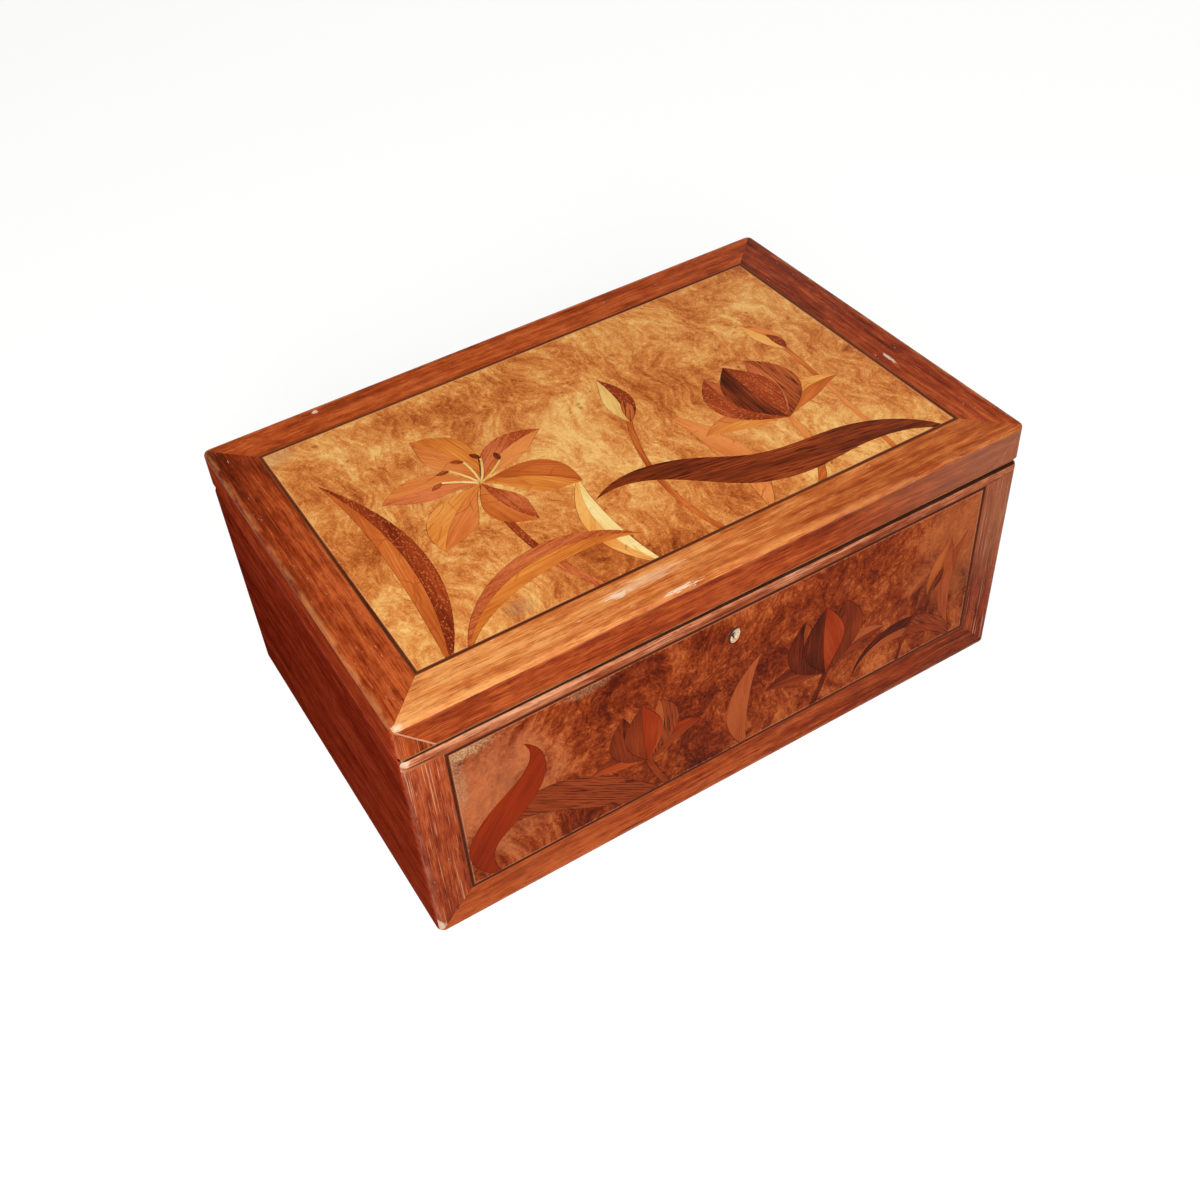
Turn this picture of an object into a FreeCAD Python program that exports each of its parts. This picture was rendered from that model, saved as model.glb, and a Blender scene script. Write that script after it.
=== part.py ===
import FreeCAD, Part
import math
import os
from functools import partial

from FreeCAD import Vector

# Marquetry box with a hinged lid.
# Millimetres, +X along the length, front face towards -Y, +Z up, origin at the centre of the underside.
# The box is faced as one closed block and then sawn apart, so lid and case share their outer faces.

# Overall block
BOX_LENGTH = 300.0
BOX_DEPTH = 197.0
BOX_HEIGHT = 132.0
LID_HEIGHT = 17.4
SAW_GAP = 1.8

# Boards
FACING = 1.6
WALL = 9.0
LID_BOARD = 7.0
BOTTOM_BOARD = 6.0
BOTTOM_REBATE = 4.5
CASE_TAILS = 4
LID_TAILS = 1
TAIL_SHARE = 0.5
TAIL_SLOPE = 1.0 / 6.0

# Rounded arrises
RIM_ROUND = 3.0
CORNER_FULLNESS = 0.4
TOP_ROUND = 1.6
LID_LOWER_ROUND = 0.6
FOOT_ROUND = 1.6

# Frames and stringing
TOP_FRAME = 19.4
STILE = 17.6
BOTTOM_RAIL = 19.8
CASE_TOP_RAIL = 5.6
STRING_CORE = 1.0
STRING_EDGE = 0.4

# Marquetry
KERF = 0.18
SMALLEST_PIECE = 1.5
BLADE_STEPS = 7
PETAL_TURN = 0.55

# Squares of the sheets that the pictures are drawn on, which are stretched to their fields
LID_SHEET = (258, 155)
FRONT_SHEET = (261, 84)

# Hinges
HINGE_INSET = 65.0
HINGE_LENGTH = 38.0
LEAF = 1.4
KNUCKLE_COUNT = 5
KNUCKLE_GAP = 0.2
KNUCKLE_CLEARANCE = 0.3
PIN_RADIUS = 1.0
PIN_CLEARANCE = 0.05
LID_OPENING = 100.0
BEVEL_CLEARANCE = 1.0
HINGE_SCREW_PITCH = 12.0

# Screws
SCREW_HEAD = 1.7
SCREW_SHANK = 0.9
SCREW_COVER = 1.1
SCREW_FIT = 0.05
SCREW_SLOT = 0.5

# Lock
LOCK_PLATE = 1.2
LOCK_CAP_WALL = 0.8
LOCK_EAR = 4.5
LOCK_FLANGE = 3.0
LOCK_FIT = 0.1
KEY_DROP = 20.5
KEY_SLOT_WIDTH = 2.0
KEY_SLOT_LENGTH = 6.5
KEY_HOLE_RADIUS = 2.3
KEY_MARGIN = 2.0
DRILL_PIN_RADIUS = 1.1
DRILL_PIN_LENGTH = 7.0
BOLT_THICKNESS = 1.8
BOLT_BAR = 5.0
BOLT_TAIL = 3.4
BOLT_HEADROOM = 1.5
BOLT_TRAVEL = 3.2
BOLT_END_GAP = 2.1
BOLT_CLEARANCE = 0.05
TALON_WIDTH = 3.6
TALON_DEPTH = 1.2
POST_RADIUS = 1.1
POST_SPACING = 14.0
TONGUE_DROP = 5.6
TONGUE_POST = 2.0
TONGUE_REST_GAP = 0.6
TONGUE_END_GAP = 0.3
SPRING_THICKNESS = 0.5
SPRING_LENGTH = 7.0
SPRING_SAG = 1.6
LINK_PLATE = 1.4
LINK_EAR = 11.0
LINK_MARGIN = 0.2
STAPLE_SPACING = 16.0
STAPLE_THICKNESS = 2.0
STAPLE_CHEEK = 0.4
STAPLE_BAR = 1.8
STAPLE_EYE = 3.2
STAPLE_CLEARANCE = 0.4
EYE_SIDE_CLEARANCE = 0.3
EYE_END_CLEARANCE = 0.5

# Keyhole escutcheon
ESCUTCHEON_WIDTH = 6.4
ESCUTCHEON_HEIGHT = 9.6
ESCUTCHEON_RECESS = 0.8
ESCUTCHEON_FIT = 0.1
ESCUTCHEON_RIM = 2.0

# Places worked out from the sizes above
X_SIDE = BOX_LENGTH / 2
Y_SIDE = BOX_DEPTH / 2
X_CARCASS = X_SIDE - FACING
Y_CARCASS = Y_SIDE - FACING
X_INSIDE = X_CARCASS - WALL
Y_INSIDE = Y_CARCASS - WALL
LID_BOTTOM = BOX_HEIGHT - LID_HEIGHT
CASE_TOP = LID_BOTTOM - SAW_GAP
LID_FACING_TOP = BOX_HEIGHT - FACING
LID_RIM_TOP = LID_FACING_TOP - LID_BOARD
CORNER_ROUND = RIM_ROUND + CORNER_FULLNESS
KNUCKLE_RADIUS = SAW_GAP / 2 + LEAF
AXIS_Y = Y_SIDE - KNUCKLE_RADIUS - KNUCKLE_CLEARANCE
AXIS_Z = CASE_TOP + SAW_GAP / 2
LEAF_ROOT = AXIS_Y - KNUCKLE_RADIUS - KNUCKLE_CLEARANCE
RIM_SCREW = LID_RIM_TOP - LID_BOTTOM - SCREW_COVER
LOCK_SCREW = WALL - SCREW_COVER
LOCK_FACE = -Y_INSIDE
KEY_HEIGHT = CASE_TOP - KEY_DROP
EYE_WIDTH = BOLT_THICKNESS + 2 * EYE_SIDE_CLEARANCE
STAPLE_WIDTH = EYE_WIDTH + 2 * STAPLE_CHEEK
STAPLE_REACH = TONGUE_DROP + STAPLE_EYE / 2 + STAPLE_BAR
LOCK_ROOM = STAPLE_WIDTH + 2 * STAPLE_CLEARANCE
LOCK_CAP_DEPTH = LOCK_ROOM + LOCK_CAP_WALL
LOCK_CAP_WIDTH = STAPLE_SPACING + 2 * (BOLT_TAIL + BOLT_TRAVEL + BOLT_END_GAP + LOCK_CAP_WALL)
LOCK_CAP_HEIGHT = KEY_DROP + KEY_SLOT_LENGTH + KEY_MARGIN
LOCK_WIDTH = LOCK_CAP_WIDTH + 2 * LOCK_EAR
LOCK_HEIGHT = LOCK_CAP_HEIGHT + LOCK_FLANGE
BOLT_Y = LOCK_FACE - LOCK_PLATE - LOCK_ROOM / 2
BOLT_TOP = CASE_TOP - STAPLE_REACH - BOLT_HEADROOM
BOLT_LOW = BOLT_TOP - BOLT_BAR
TONGUE_HEIGHT = STAPLE_EYE - 2 * EYE_END_CLEARANCE
TONGUE_REACH = BOLT_TRAVEL + TONGUE_END_GAP - TONGUE_REST_GAP
LINK_LENGTH = STAPLE_SPACING + STAPLE_THICKNESS + 2 * LINK_EAR
LINK_WIDTH = LOCK_PLATE * 2 + LOCK_ROOM - 2 * LINK_MARGIN

ALONG = Vector(1, 0, 0)
INWARD = Vector(0, 1, 0)
OUTWARD = Vector(0, -1, 0)
UP = Vector(0, 0, 1)
DOWN = Vector(0, 0, -1)

nodes = {}


# Plain shapes

def block(x0, x1, y0, y1, z0, z1):
    """A box between two corners."""
    return Part.makeBox(x1 - x0, y1 - y0, z1 - z0, Vector(x0, y0, z0))


def rod(radius, start, direction, length):
    """A round bar from start along direction."""
    return Part.makeCylinder(radius, length, start, direction)


def prism(points, along):
    """The solid that a closed polygon sweeps along a vector."""
    return Part.Face(Part.makePolygon(points + points[:1])).extrude(along)


def prism_x(points, x0, x1):
    """A prism whose outline is given as (y, z)."""
    return prism([Vector(x0, y, z) for y, z in points], Vector(x1 - x0, 0, 0))


def prism_y(points, y0, y1):
    """A prism whose outline is given as (x, z)."""
    return prism([Vector(x, y0, z) for x, z in points], Vector(0, y1 - y0, 0))


def prism_z(points, z0, z1):
    """A prism whose outline is given as (x, y)."""
    return prism([Vector(x, y, z0) for x, y in points], Vector(0, 0, z1 - z0))


def joined(shapes):
    """One solid from several that meet."""
    return shapes[0].multiFuse(shapes[1:]).removeSplitter()


def mirrored(shape):
    """The same piece on the other side of the box."""
    return shape.mirror(Vector(0, 0, 0), ALONG)


def keep(name, *shapes):
    """Files one or more solids under a node's name."""
    solids = [solid for shape in shapes for solid in shape.Solids]
    nodes[name] = solids[0] if len(solids) == 1 else Part.makeCompound(solids)


# Outer block, rounded along its arrises

def edges_at(shape, z):
    """The edges that lie wholly at one height."""
    return [e for e in shape.Edges if all(abs(v.Z - z) < 1e-6 for v in e.Vertexes)]


def rounded_block(z0, z1, upper_round, lower_round):
    """The outer shape of the lid or the case."""
    shape = block(-X_SIDE, X_SIDE, -Y_SIDE, Y_SIDE, z0, z1)
    upright = [e for e in shape.Edges if abs(e.BoundBox.ZLength - (z1 - z0)) < 1e-6]
    shape = shape.makeFillet(CORNER_ROUND, upright)
    shape = shape.makeFillet(upper_round, edges_at(shape, z1))
    return shape.makeFillet(lower_round, edges_at(shape, z0))


CASE_BLOCK = rounded_block(0, CASE_TOP, RIM_ROUND, FOOT_ROUND)
LID_BLOCK = rounded_block(LID_BOTTOM, BOX_HEIGHT, TOP_ROUND, LID_LOWER_ROUND)


# Hinge bevels and mortises

def bevel(up):
    """The wedge taken off behind the hinge axis, so that the lid stops at its opening angle."""
    reach = Y_SIDE - AXIS_Y + FACING
    rise = up * reach * math.tan(math.radians(LID_OPENING / 2 + BEVEL_CLEARANCE))
    outline = [(AXIS_Y, AXIS_Z), (AXIS_Y + reach, AXIS_Z), (AXIS_Y + reach, AXIS_Z + rise)]
    return prism_x(outline, -X_SIDE - FACING, X_SIDE + FACING)


def hinge_centres():
    """The middles of the two hinges along the box."""
    return [-X_SIDE + HINGE_INSET, X_SIDE - HINGE_INSET]


def leaf_heights(up):
    """The lower and upper face of the lid's leaves (up = 1) or of the case's (up = -1)."""
    near = AXIS_Z + up * SAW_GAP / 2
    return sorted((near, near + up * LEAF))


def hinge_mortises(up):
    """The room for both hinges in a rim: leaf recesses and grooves for the knuckles."""
    z0, z1 = leaf_heights(up)
    made = []
    for centre in hinge_centres():
        x0 = centre - HINGE_LENGTH / 2 - KNUCKLE_GAP
        length = HINGE_LENGTH + 2 * KNUCKLE_GAP
        made.append(block(x0, x0 + length, Y_INSIDE, AXIS_Y, z0, z1))
        made.append(rod(KNUCKLE_RADIUS + KNUCKLE_CLEARANCE, Vector(x0, AXIS_Y, AXIS_Z), ALONG, length))
    return made


# Screws

def screw_form(length, grow=0.0):
    """A countersunk wood screw pointing down, head at the origin; grow makes the hole for it."""
    head, shank = SCREW_HEAD + grow, SCREW_SHANK + grow
    sink = head - shank
    outline = [(0, 0), (head, 0), (shank, -sink), (shank, shank - length), (0, -length - grow)]
    points = [Vector(r, 0, z) for r, z in outline]
    return Part.Face(Part.makePolygon(points + points[:1])).revolve(Vector(0, 0, 0), UP, 360)


def screw(length):
    """A screw with its driver slot."""
    slot = block(-SCREW_HEAD, SCREW_HEAD, -SCREW_SLOT / 2, SCREW_SLOT / 2, -SCREW_SLOT, SCREW_SLOT)
    return screw_form(length).cut(slot)


def set_in(form, points, direction):
    """A screw or its hole, set in at each of some points along a direction."""
    turn = FreeCAD.Rotation(DOWN, direction)
    made = []
    for point in points:
        copy = form.copy()
        copy.Placement = FreeCAD.Placement(point, turn)
        made.append(copy)
    return made


def holes(length, points, direction):
    """The holes that a set of screws goes into."""
    return set_in(screw_form(length, SCREW_FIT), points, direction)


def hinge_screw_points(up):
    """Where the leaf screws' heads lie, flush with the leaf."""
    y = (Y_INSIDE + LEAF_ROOT) / 2
    z = AXIS_Z + up * SAW_GAP / 2
    offsets = (-HINGE_SCREW_PITCH, 0, HINGE_SCREW_PITCH)
    return [Vector(centre + dx, y, z) for centre in hinge_centres() for dx in offsets]


def lock_screw_points():
    """The four ears of the lock plate, on the inside of the case."""
    x = (LOCK_WIDTH - LOCK_EAR) / 2
    heights = (CASE_TOP - LOCK_HEIGHT + LOCK_EAR / 2, CASE_TOP - LOCK_PLATE - LOCK_EAR)
    return [Vector(side * x, LOCK_FACE, z) for side in (-1, 1) for z in heights]


def link_screw_points():
    """The two ends of the link plate, under the lid's front rim."""
    x = (LINK_LENGTH - LINK_EAR) / 2
    return [Vector(side * x, BOLT_Y, LID_BOTTOM) for side in (-1, 1)]


# Carcass of the case and the rims of the lid

def tails(z0, z1, count):
    """Dovetails at both ends of the left wall."""
    pitch = (z1 - z0) / count
    root = pitch * TAIL_SHARE / 2
    flare = root + WALL * TAIL_SLOPE
    made = []
    for i in range(count):
        middle = z0 + (i + 0.5) * pitch
        for end in (-1, 1):
            outline = [(end * Y_INSIDE, middle - root), (end * Y_INSIDE, middle + root),
                       (end * Y_CARCASS, middle + flare), (end * Y_CARCASS, middle - flare)]
            made.append(prism_x(outline, -X_CARCASS, -X_INSIDE))
    return made


def walls(z0, z1, count, whole):
    """Front, back and left walls between two heights; the right wall mirrors the left."""
    ends = tails(z0, z1, count)
    both_ends = ends + [mirrored(tail) for tail in ends]
    front = block(-X_CARCASS, X_CARCASS, -Y_CARCASS, -Y_INSIDE, z0, z1).cut(both_ends)
    back = block(-X_CARCASS, X_CARCASS, Y_INSIDE, Y_CARCASS, z0, z1).cut(both_ends)
    left = joined([block(-X_CARCASS, -X_INSIDE, -Y_INSIDE, Y_INSIDE, z0, z1)] + ends)
    return front.common(whole), back.common(whole), left.common(whole)


def key_passage(y0, y1, grow=0.0):
    """A keyhole through a plate or a wall: a round hole with a slot below it."""
    hole = rod(KEY_HOLE_RADIUS + grow, Vector(0, y0, KEY_HEIGHT), INWARD, y1 - y0)
    half = KEY_SLOT_WIDTH / 2 + grow
    slot = block(-half, half, y0, y1, KEY_HEIGHT - KEY_SLOT_LENGTH - grow, KEY_HEIGHT)
    return hole.fuse(slot)


def lock_mortise():
    """The room for the lock in the front wall, open at the inside and at the rim."""
    half, cap = LOCK_WIDTH / 2 + LOCK_FIT, LOCK_CAP_WIDTH / 2 + LOCK_FIT
    front = LOCK_FACE - LOCK_PLATE - LOCK_CAP_DEPTH - LOCK_FIT
    plate = block(-half, half, LOCK_FACE - LOCK_PLATE, LOCK_FACE, CASE_TOP - LOCK_HEIGHT - LOCK_FIT, CASE_TOP)
    selvedge = block(-half, half, front, LOCK_FACE, CASE_TOP - LOCK_PLATE, CASE_TOP)
    body = block(-cap, cap, front, LOCK_FACE, CASE_TOP - LOCK_CAP_HEIGHT - LOCK_FIT, CASE_TOP)
    return [plate, selvedge, body]


def make_case_carcass():
    """The dovetailed walls and the bottom board in its rebate."""
    front, back, left = walls(0, CASE_TOP, CASE_TAILS, CASE_BLOCK)
    x, y = X_INSIDE + BOTTOM_REBATE, Y_INSIDE + BOTTOM_REBATE
    bottom = block(-x, x, -y, y, 0, BOTTOM_BOARD)
    front_cuts = lock_mortise() + holes(LOCK_SCREW, lock_screw_points(), OUTWARD)
    front_cuts += [bottom, key_passage(-Y_CARCASS, LOCK_FACE, LOCK_FIT)]
    back_cuts = hinge_mortises(-1) + holes(RIM_SCREW, hinge_screw_points(-1), DOWN) + [bottom, bevel(-1)]
    left = left.cut([bottom, bevel(-1)])
    keep("front_wall", front.cut(front_cuts))
    keep("back_wall", back.cut(back_cuts))
    keep("left_wall", left)
    keep("right_wall", mirrored(left))
    keep("bottom_board", bottom)


def make_lid_carcass():
    """The lid's rim walls and the board that lies on them."""
    front, back, left = walls(LID_BOTTOM, LID_RIM_TOP, LID_TAILS, LID_BLOCK)
    x, y = LINK_LENGTH / 2 + LOCK_FIT, LINK_WIDTH / 2 + LOCK_FIT
    link_seat = block(-x, x, BOLT_Y - y, BOLT_Y + y, LID_BOTTOM, LID_BOTTOM + LINK_PLATE)
    back_cuts = hinge_mortises(1) + holes(RIM_SCREW, hinge_screw_points(1), UP) + [bevel(1)]
    left = left.cut(bevel(1))
    keep("lid_front_rim", front.cut([link_seat] + holes(RIM_SCREW, link_screw_points(), UP)))
    keep("lid_back_rim", back.cut(back_cuts))
    keep("lid_left_rim", left)
    keep("lid_right_rim", mirrored(left))
    keep("lid_board", block(-X_CARCASS, X_CARCASS, -Y_CARCASS, Y_CARCASS, LID_RIM_TOP, LID_FACING_TOP))


# Facings

def make_side_facings():
    """Plain facings on the two sides and the back, sawn through with the rest of the block."""
    for prefix, whole, up, z0, z1 in (("", CASE_BLOCK, -1, 0, CASE_TOP),
                                      ("lid_", LID_BLOCK, 1, LID_BOTTOM, LID_FACING_TOP)):
        cuts = [bevel(up)] + hinge_mortises(up)
        left = block(-X_SIDE, -X_CARCASS, -Y_CARCASS, Y_CARCASS, z0, z1).common(whole).cut(cuts)
        back = block(-X_SIDE, X_SIDE, Y_CARCASS, Y_SIDE, z0, z1).common(whole).cut(cuts)
        keep(prefix + "left_facing", left)
        keep(prefix + "right_facing", mirrored(left))
        keep(prefix + "back_facing", back)


def inset(rectangle, distance):
    """A rectangle (x0, x1, v0, v1) drawn in on every side."""
    x0, x1, v0, v1 = rectangle
    return x0 + distance, x1 - distance, v0 + distance, v1 - distance


def mitred(outer, inner):
    """The outlines of four strips between two rectangles, mitred at the corners."""
    a0, a1, b0, b1 = outer
    c0, c1, d0, d1 = inner
    return {"left": [(a0, b0), (c0, d0), (c0, d1), (a0, b1)],
            "right": [(a1, b0), (c1, d0), (c1, d1), (a1, b1)],
            "low": [(a0, b0), (a1, b0), (c1, d0), (c0, d0)],
            "high": [(a0, b1), (a1, b1), (c1, d1), (c0, d1)]}


def stringing(outer, sweep):
    """Three-ply stringing inside a rectangle: its dark core, its two pale edge lines and the field left."""
    first = inset(outer, STRING_EDGE)
    second = inset(first, STRING_CORE)
    field = inset(second, STRING_EDGE)
    core = [sweep(outline) for outline in mitred(first, second).values()]
    edges = [sweep(outline) for outline in mitred(outer, first).values()]
    edges += [sweep(outline) for outline in mitred(second, field).values()]
    return core, edges, field


def front_sweep(outline):
    """A strip of the front facing from its outline in (x, z)."""
    return prism_y(outline, -Y_SIDE, -Y_CARCASS)


def top_sweep(outline):
    """A strip of the lid's top facing from its outline in (x, y)."""
    return prism_z(outline, LID_FACING_TOP, BOX_HEIGHT)


def make_front_frame():
    """The case's front frame and its stringing; returns the field."""
    rail_foot = CASE_TOP - CASE_TOP_RAIL
    inner = (-X_SIDE + STILE, X_SIDE - STILE, BOTTOM_RAIL, rail_foot)
    outer = (-X_SIDE, X_SIDE, 0, rail_foot)
    strips = {side: front_sweep(outline) for side, outline in mitred(outer, inner).items() if side != "high"}
    top_rail = block(-X_SIDE, X_SIDE, -Y_SIDE, -Y_CARCASS, rail_foot, CASE_TOP)
    keep("front_left_stile", strips["left"].common(CASE_BLOCK))
    keep("front_right_stile", strips["right"].common(CASE_BLOCK))
    keep("front_bottom_rail", strips["low"].common(CASE_BLOCK))
    keep("front_top_rail", top_rail.common(CASE_BLOCK))
    core, edges, field = stringing(inner, front_sweep)
    keep("front_string_core", *core)
    keep("front_string_edges", *edges)
    return field


def make_lid_front():
    """The lid's front rail, mitred at its ends to the tips of the stiles."""
    mitre = LID_FACING_TOP - LID_BOTTOM
    high = [(-X_SIDE, LID_FACING_TOP), (X_SIDE, LID_FACING_TOP)]
    low = [(X_SIDE - mitre, LID_BOTTOM), (-X_SIDE + mitre, LID_BOTTOM)]
    tip = front_sweep([high[0], low[1], (-X_SIDE, LID_BOTTOM)]).common(LID_BLOCK)
    keep("lid_front_rail", front_sweep(high + low).common(LID_BLOCK))
    keep("lid_front_stile_tips", tip, mirrored(tip))


def make_top_frame():
    """The lid's mitred top frame and its stringing; returns the field."""
    outer = (-X_SIDE, X_SIDE, -Y_SIDE, Y_SIDE)
    inner = inset(outer, TOP_FRAME)
    names = {"left": "left", "right": "right", "low": "front", "high": "back"}
    for side, outline in mitred(outer, inner).items():
        keep(f"lid_top_{names[side]}_rail", top_sweep(outline).common(LID_BLOCK))
    core, edges, field = stringing(inner, top_sweep)
    keep("lid_string_core", *core)
    keep("lid_string_edges", *edges)
    return field


# Marquetry outlines, drawn flat from the middle of a field's lower edge

def smooth(points):
    """A smooth curve through some points."""
    curve = Part.BSplineCurve()
    curve.interpolate(points)
    return curve


def sides_of(spine, left, right, stretch, grow, end_grow):
    """Points to the left and right of a spine; left and right give the widths at a share of its length."""
    curve = smooth([Vector(u * stretch[0], v * stretch[1], 0) for u, v in spine])
    scale = min(stretch)
    first, last = curve.FirstParameter, curve.LastParameter
    lefts, rights = [], []
    for i in range(BLADE_STEPS + 1):
        share = i / BLADE_STEPS
        at = first + share * (last - first)
        along = curve.tangent(at)[0]
        across = Vector(-along.y, along.x, 0)
        point = curve.value(at) + along * (grow - end_grow) * (2 * share - 1)
        margin = grow if 0 < i < BLADE_STEPS else end_grow
        lefts.append(point + across * (left(share) * scale + margin))
        rights.append(point - across * (right(share) * scale + margin))
    return lefts, rights


def blade(spine, left, right, belly, stretch, grow=0.0):
    """A leaf or petal: pointed at both ends of its spine and widest at the belly."""
    power = math.log(0.5) / math.log(belly)

    def swell(width, share):
        return width * math.sin(math.pi * share ** power)

    widths = partial(swell, left), partial(swell, right)
    lefts, rights = sides_of(spine, *widths, stretch, grow, 0.0)
    return Part.Face(Part.Wire([smooth(lefts).toShape(), smooth(rights).toShape()]))


def stem(spine, width, stretch, grow=0.0):
    """A stalk of even width with square ends."""

    def half(share):
        return width / 2

    lefts, rights = sides_of(spine, half, half, stretch, grow, grow)
    outline = [smooth(lefts).toShape(), Part.makeLine(lefts[-1], rights[-1]),
               smooth(rights).toShape(), Part.makeLine(rights[0], lefts[0])]
    return Part.Face(Part.Wire(outline))


def bent(base, heading, length, bend):
    """A petal's spine: it leaves its base at a heading in degrees and turns by a bend on the way."""
    u, v = base
    points = [base]
    for share, angle in ((PETAL_TURN, heading), (1 - PETAL_TURN, heading + bend)):
        u += length * share * math.cos(math.radians(angle))
        v += length * share * math.sin(math.radians(angle))
        points.append((u, v))
    return points


def plain(wood, spine, left, right, belly=0.5):
    """A leaf or petal of one wood."""
    whole = partial(blade, spine, left, right, belly)
    return [(whole, {wood: whole})]


def two_tone(shade, light, spine, left, right, belly=0.5):
    """A leaf or petal whose left half is of another wood, with a saw cut along its spine."""
    halves = {shade: partial(blade, spine, left, 0, belly),
              light: partial(blade, spine, -KERF, right, belly)}
    return [(partial(blade, spine, left, right, belly), halves)]


def stalk(wood, spine, width):
    """A stem of one wood."""
    whole = partial(stem, spine, width)
    return [(whole, {wood: whole})]


def cut_round(face, others):
    """The parts of a flat face that others leave free."""
    for other in others:
        if other.BoundBox.intersect(face.BoundBox):
            face = face.cut(other)
    return [part for part in face.Faces if part.Area > SMALLEST_PIECE]


def lay(pieces, sheet, field, keep_out):
    """Cuts the pieces of a picture round each other and the ground round them all.

    The uppermost piece comes first. Returns the faces of each wood and the ground, all in the drawing's plane.
    """
    width, height = field[1] - field[0], field[3] - field[2]
    stretch = width / sheet[0], height / sheet[1]
    ground = Part.makePlane(width, height, Vector(-width / 2, 0, 0))
    trimmed = Part.makePlane(width - 2 * KERF, height - 2 * KERF, Vector(-width / 2 + KERF, KERF, 0))
    above = list(keep_out)
    woods = {}
    for whole, parts in pieces:
        for wood, outline in parts.items():
            for face in outline(stretch).common(trimmed).Faces:
                woods.setdefault(wood, []).extend(cut_round(face, above))
        above.append(whole(stretch, KERF))
    return woods, cut_round(ground, above)


def thick(faces):
    """Veneer of the facing's thickness from flat faces."""
    return [face.extrude(Vector(0, 0, FACING)) for face in faces]


# The lid's picture: an open lily, a half-open tulip, two buds and long leaves

def lily(centre):
    """An open lily of six petals with its stamens."""
    made = []
    for heading in (28, 58, 84, 112, 140):
        filament = bent(centre, heading, 17, 10)
        made += plain("dark", bent(filament[-1], heading + 60, 6, 0), 1.3, 1.3)
        made += stalk("pale", filament, 1.1)
    for heading, length, bend in ((96, 46, 24), (336, 44, -22), (214, 45, 20)):
        made += two_tone("tan", "gold", bent(centre, heading, length, bend), 11, 10.5, 0.58)
    for heading, length, bend in ((36, 44, -26), (276, 36, 20), (154, 44, 24)):
        made += two_tone("red", "tan", bent(centre, heading, length, bend), 8.5, 9, 0.55)
    return made


def tulip(base, scale, front, sides, outers):
    """A half-open flower seen from the side; each of its three kinds of petal is of two woods."""
    made = two_tone(*front, bent(base, 96, 45 * scale, -8), 11 * scale, 12 * scale, 0.52)
    for heading, bend in ((121, -30), (66, 30)):
        made += two_tone(*sides, bent(base, heading, 46 * scale, bend), 9.5 * scale, 9.5 * scale, 0.55)
    for heading, bend in ((152, 30), (34, -34)):
        made += two_tone(*outers, bent(base, heading, 38 * scale, bend), 6 * scale, 6.5 * scale, 0.5)
    return made


def bud(base, heading, length, width, shade, light, sepal):
    """A closed bud with a sepal at its foot."""
    made = plain(sepal, bent(base, heading - 14, length * 0.5, 20), width * 0.42, width * 0.42)
    return made + two_tone(shade, light, bent(base, heading, length, 12), width, width, 0.45)


def lid_picture():
    """Every piece of the lid's picture, uppermost first."""
    return (lily((-58, 82))
            + tulip((74, 42), 1.05, ("dark", "red"), ("red", "dark"), ("gold", "tan"))
            + bud((16, 80), 78, 36, 6.5, "pale", "red", "dark")
            + plain("dark", [(126, -8), (88, 16), (46, 20), (12, 42), (-24, 44)], 9.5, 9.5)
            + two_tone("red", "gold", [(-110, -6), (-84, 20), (-46, 27), (-20, 16)], 6.5, 7.5, 0.55)
            + stalk("red", [(-58, 80), (-60, 46), (-46, -6)], 3.2)
            + stalk("tan", [(74, 43), (70, 20), (54, -6)], 3.2)
            + stalk("tan", [(16, 81), (5, 42), (10, -6)], 2.4)
            + two_tone("tan", "red", [(-118, -6), (-106, 50), (-117, 122)], 7, 8, 0.45)
            + bud((104, 84), 98, 30, 5.2, "gold", "tan", "red")
            + stalk("tan", [(104, 85), (101, 44), (96, -6)], 2.2)
            + two_tone("gold", "pale", [(-20, -6), (-31, 28), (-22, 62)], 5.5, 6)
            + plain("tan", [(30, -6), (40, 34), (30, 76)], 6, 6.5))


def front_picture():
    """Every piece of the front's picture, uppermost first."""
    return (tulip((50, 17), 0.95, ("dark", "red"), ("dark", "brown"), ("brown", "dark"))
            + plain("red", [(-112, -6), (-120, 26), (-98, 48), (-100, 70)], 8.5, 8.5)
            + tulip((-44, 21), 0.8, ("brown", "red"), ("brown", "dark"), ("red", "brown"))
            + bud((106, 34), 66, 32, 5.5, "gold", "brown", "dark")
            + plain("dark", [(-128, 20), (-92, 30), (-64, 14), (-30, -8)], 8.5, 9.5)
            + stalk("dark", [(50, 18), (47, 8), (40, -6)], 3.0)
            + stalk("brown", [(-44, 22), (-40, 10), (-32, -6)], 3.0)
            + stalk("dark", [(106, 35), (96, 16), (92, -6)], 1.8)
            + two_tone("brown", "dark", [(124, -6), (112, 12), (78, 18), (66, 4)], 5, 6)
            + plain("brown", [(8, -6), (2, 24), (14, 52)], 5.5, 5.5)
            + plain("brown", [(122, 6), (116, 36), (126, 64)], 3.5, 4))


def make_lid_marquetry(field):
    """The lid's ground and inlaid veneers."""
    woods, ground = lay(lid_picture(), LID_SHEET, field, [])
    corner = Vector(0, field[2], LID_FACING_TOP)
    keep("lid_burl_ground", *[solid.translated(corner) for solid in thick(ground)])
    for wood, faces in woods.items():
        keep(f"lid_inlay_{wood}", *[solid.translated(corner) for solid in thick(faces)])


def oval(grow=0.0):
    """The escutcheon's outline, drawn flat about the origin."""
    tall, wide = ESCUTCHEON_HEIGHT / 2 + grow, ESCUTCHEON_WIDTH / 2 + grow
    curve = Part.Ellipse(Vector(0, tall, 0), Vector(wide, 0, 0), Vector(0, 0, 0))
    return Part.Face(Part.Wire(curve.toShape()))


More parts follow.
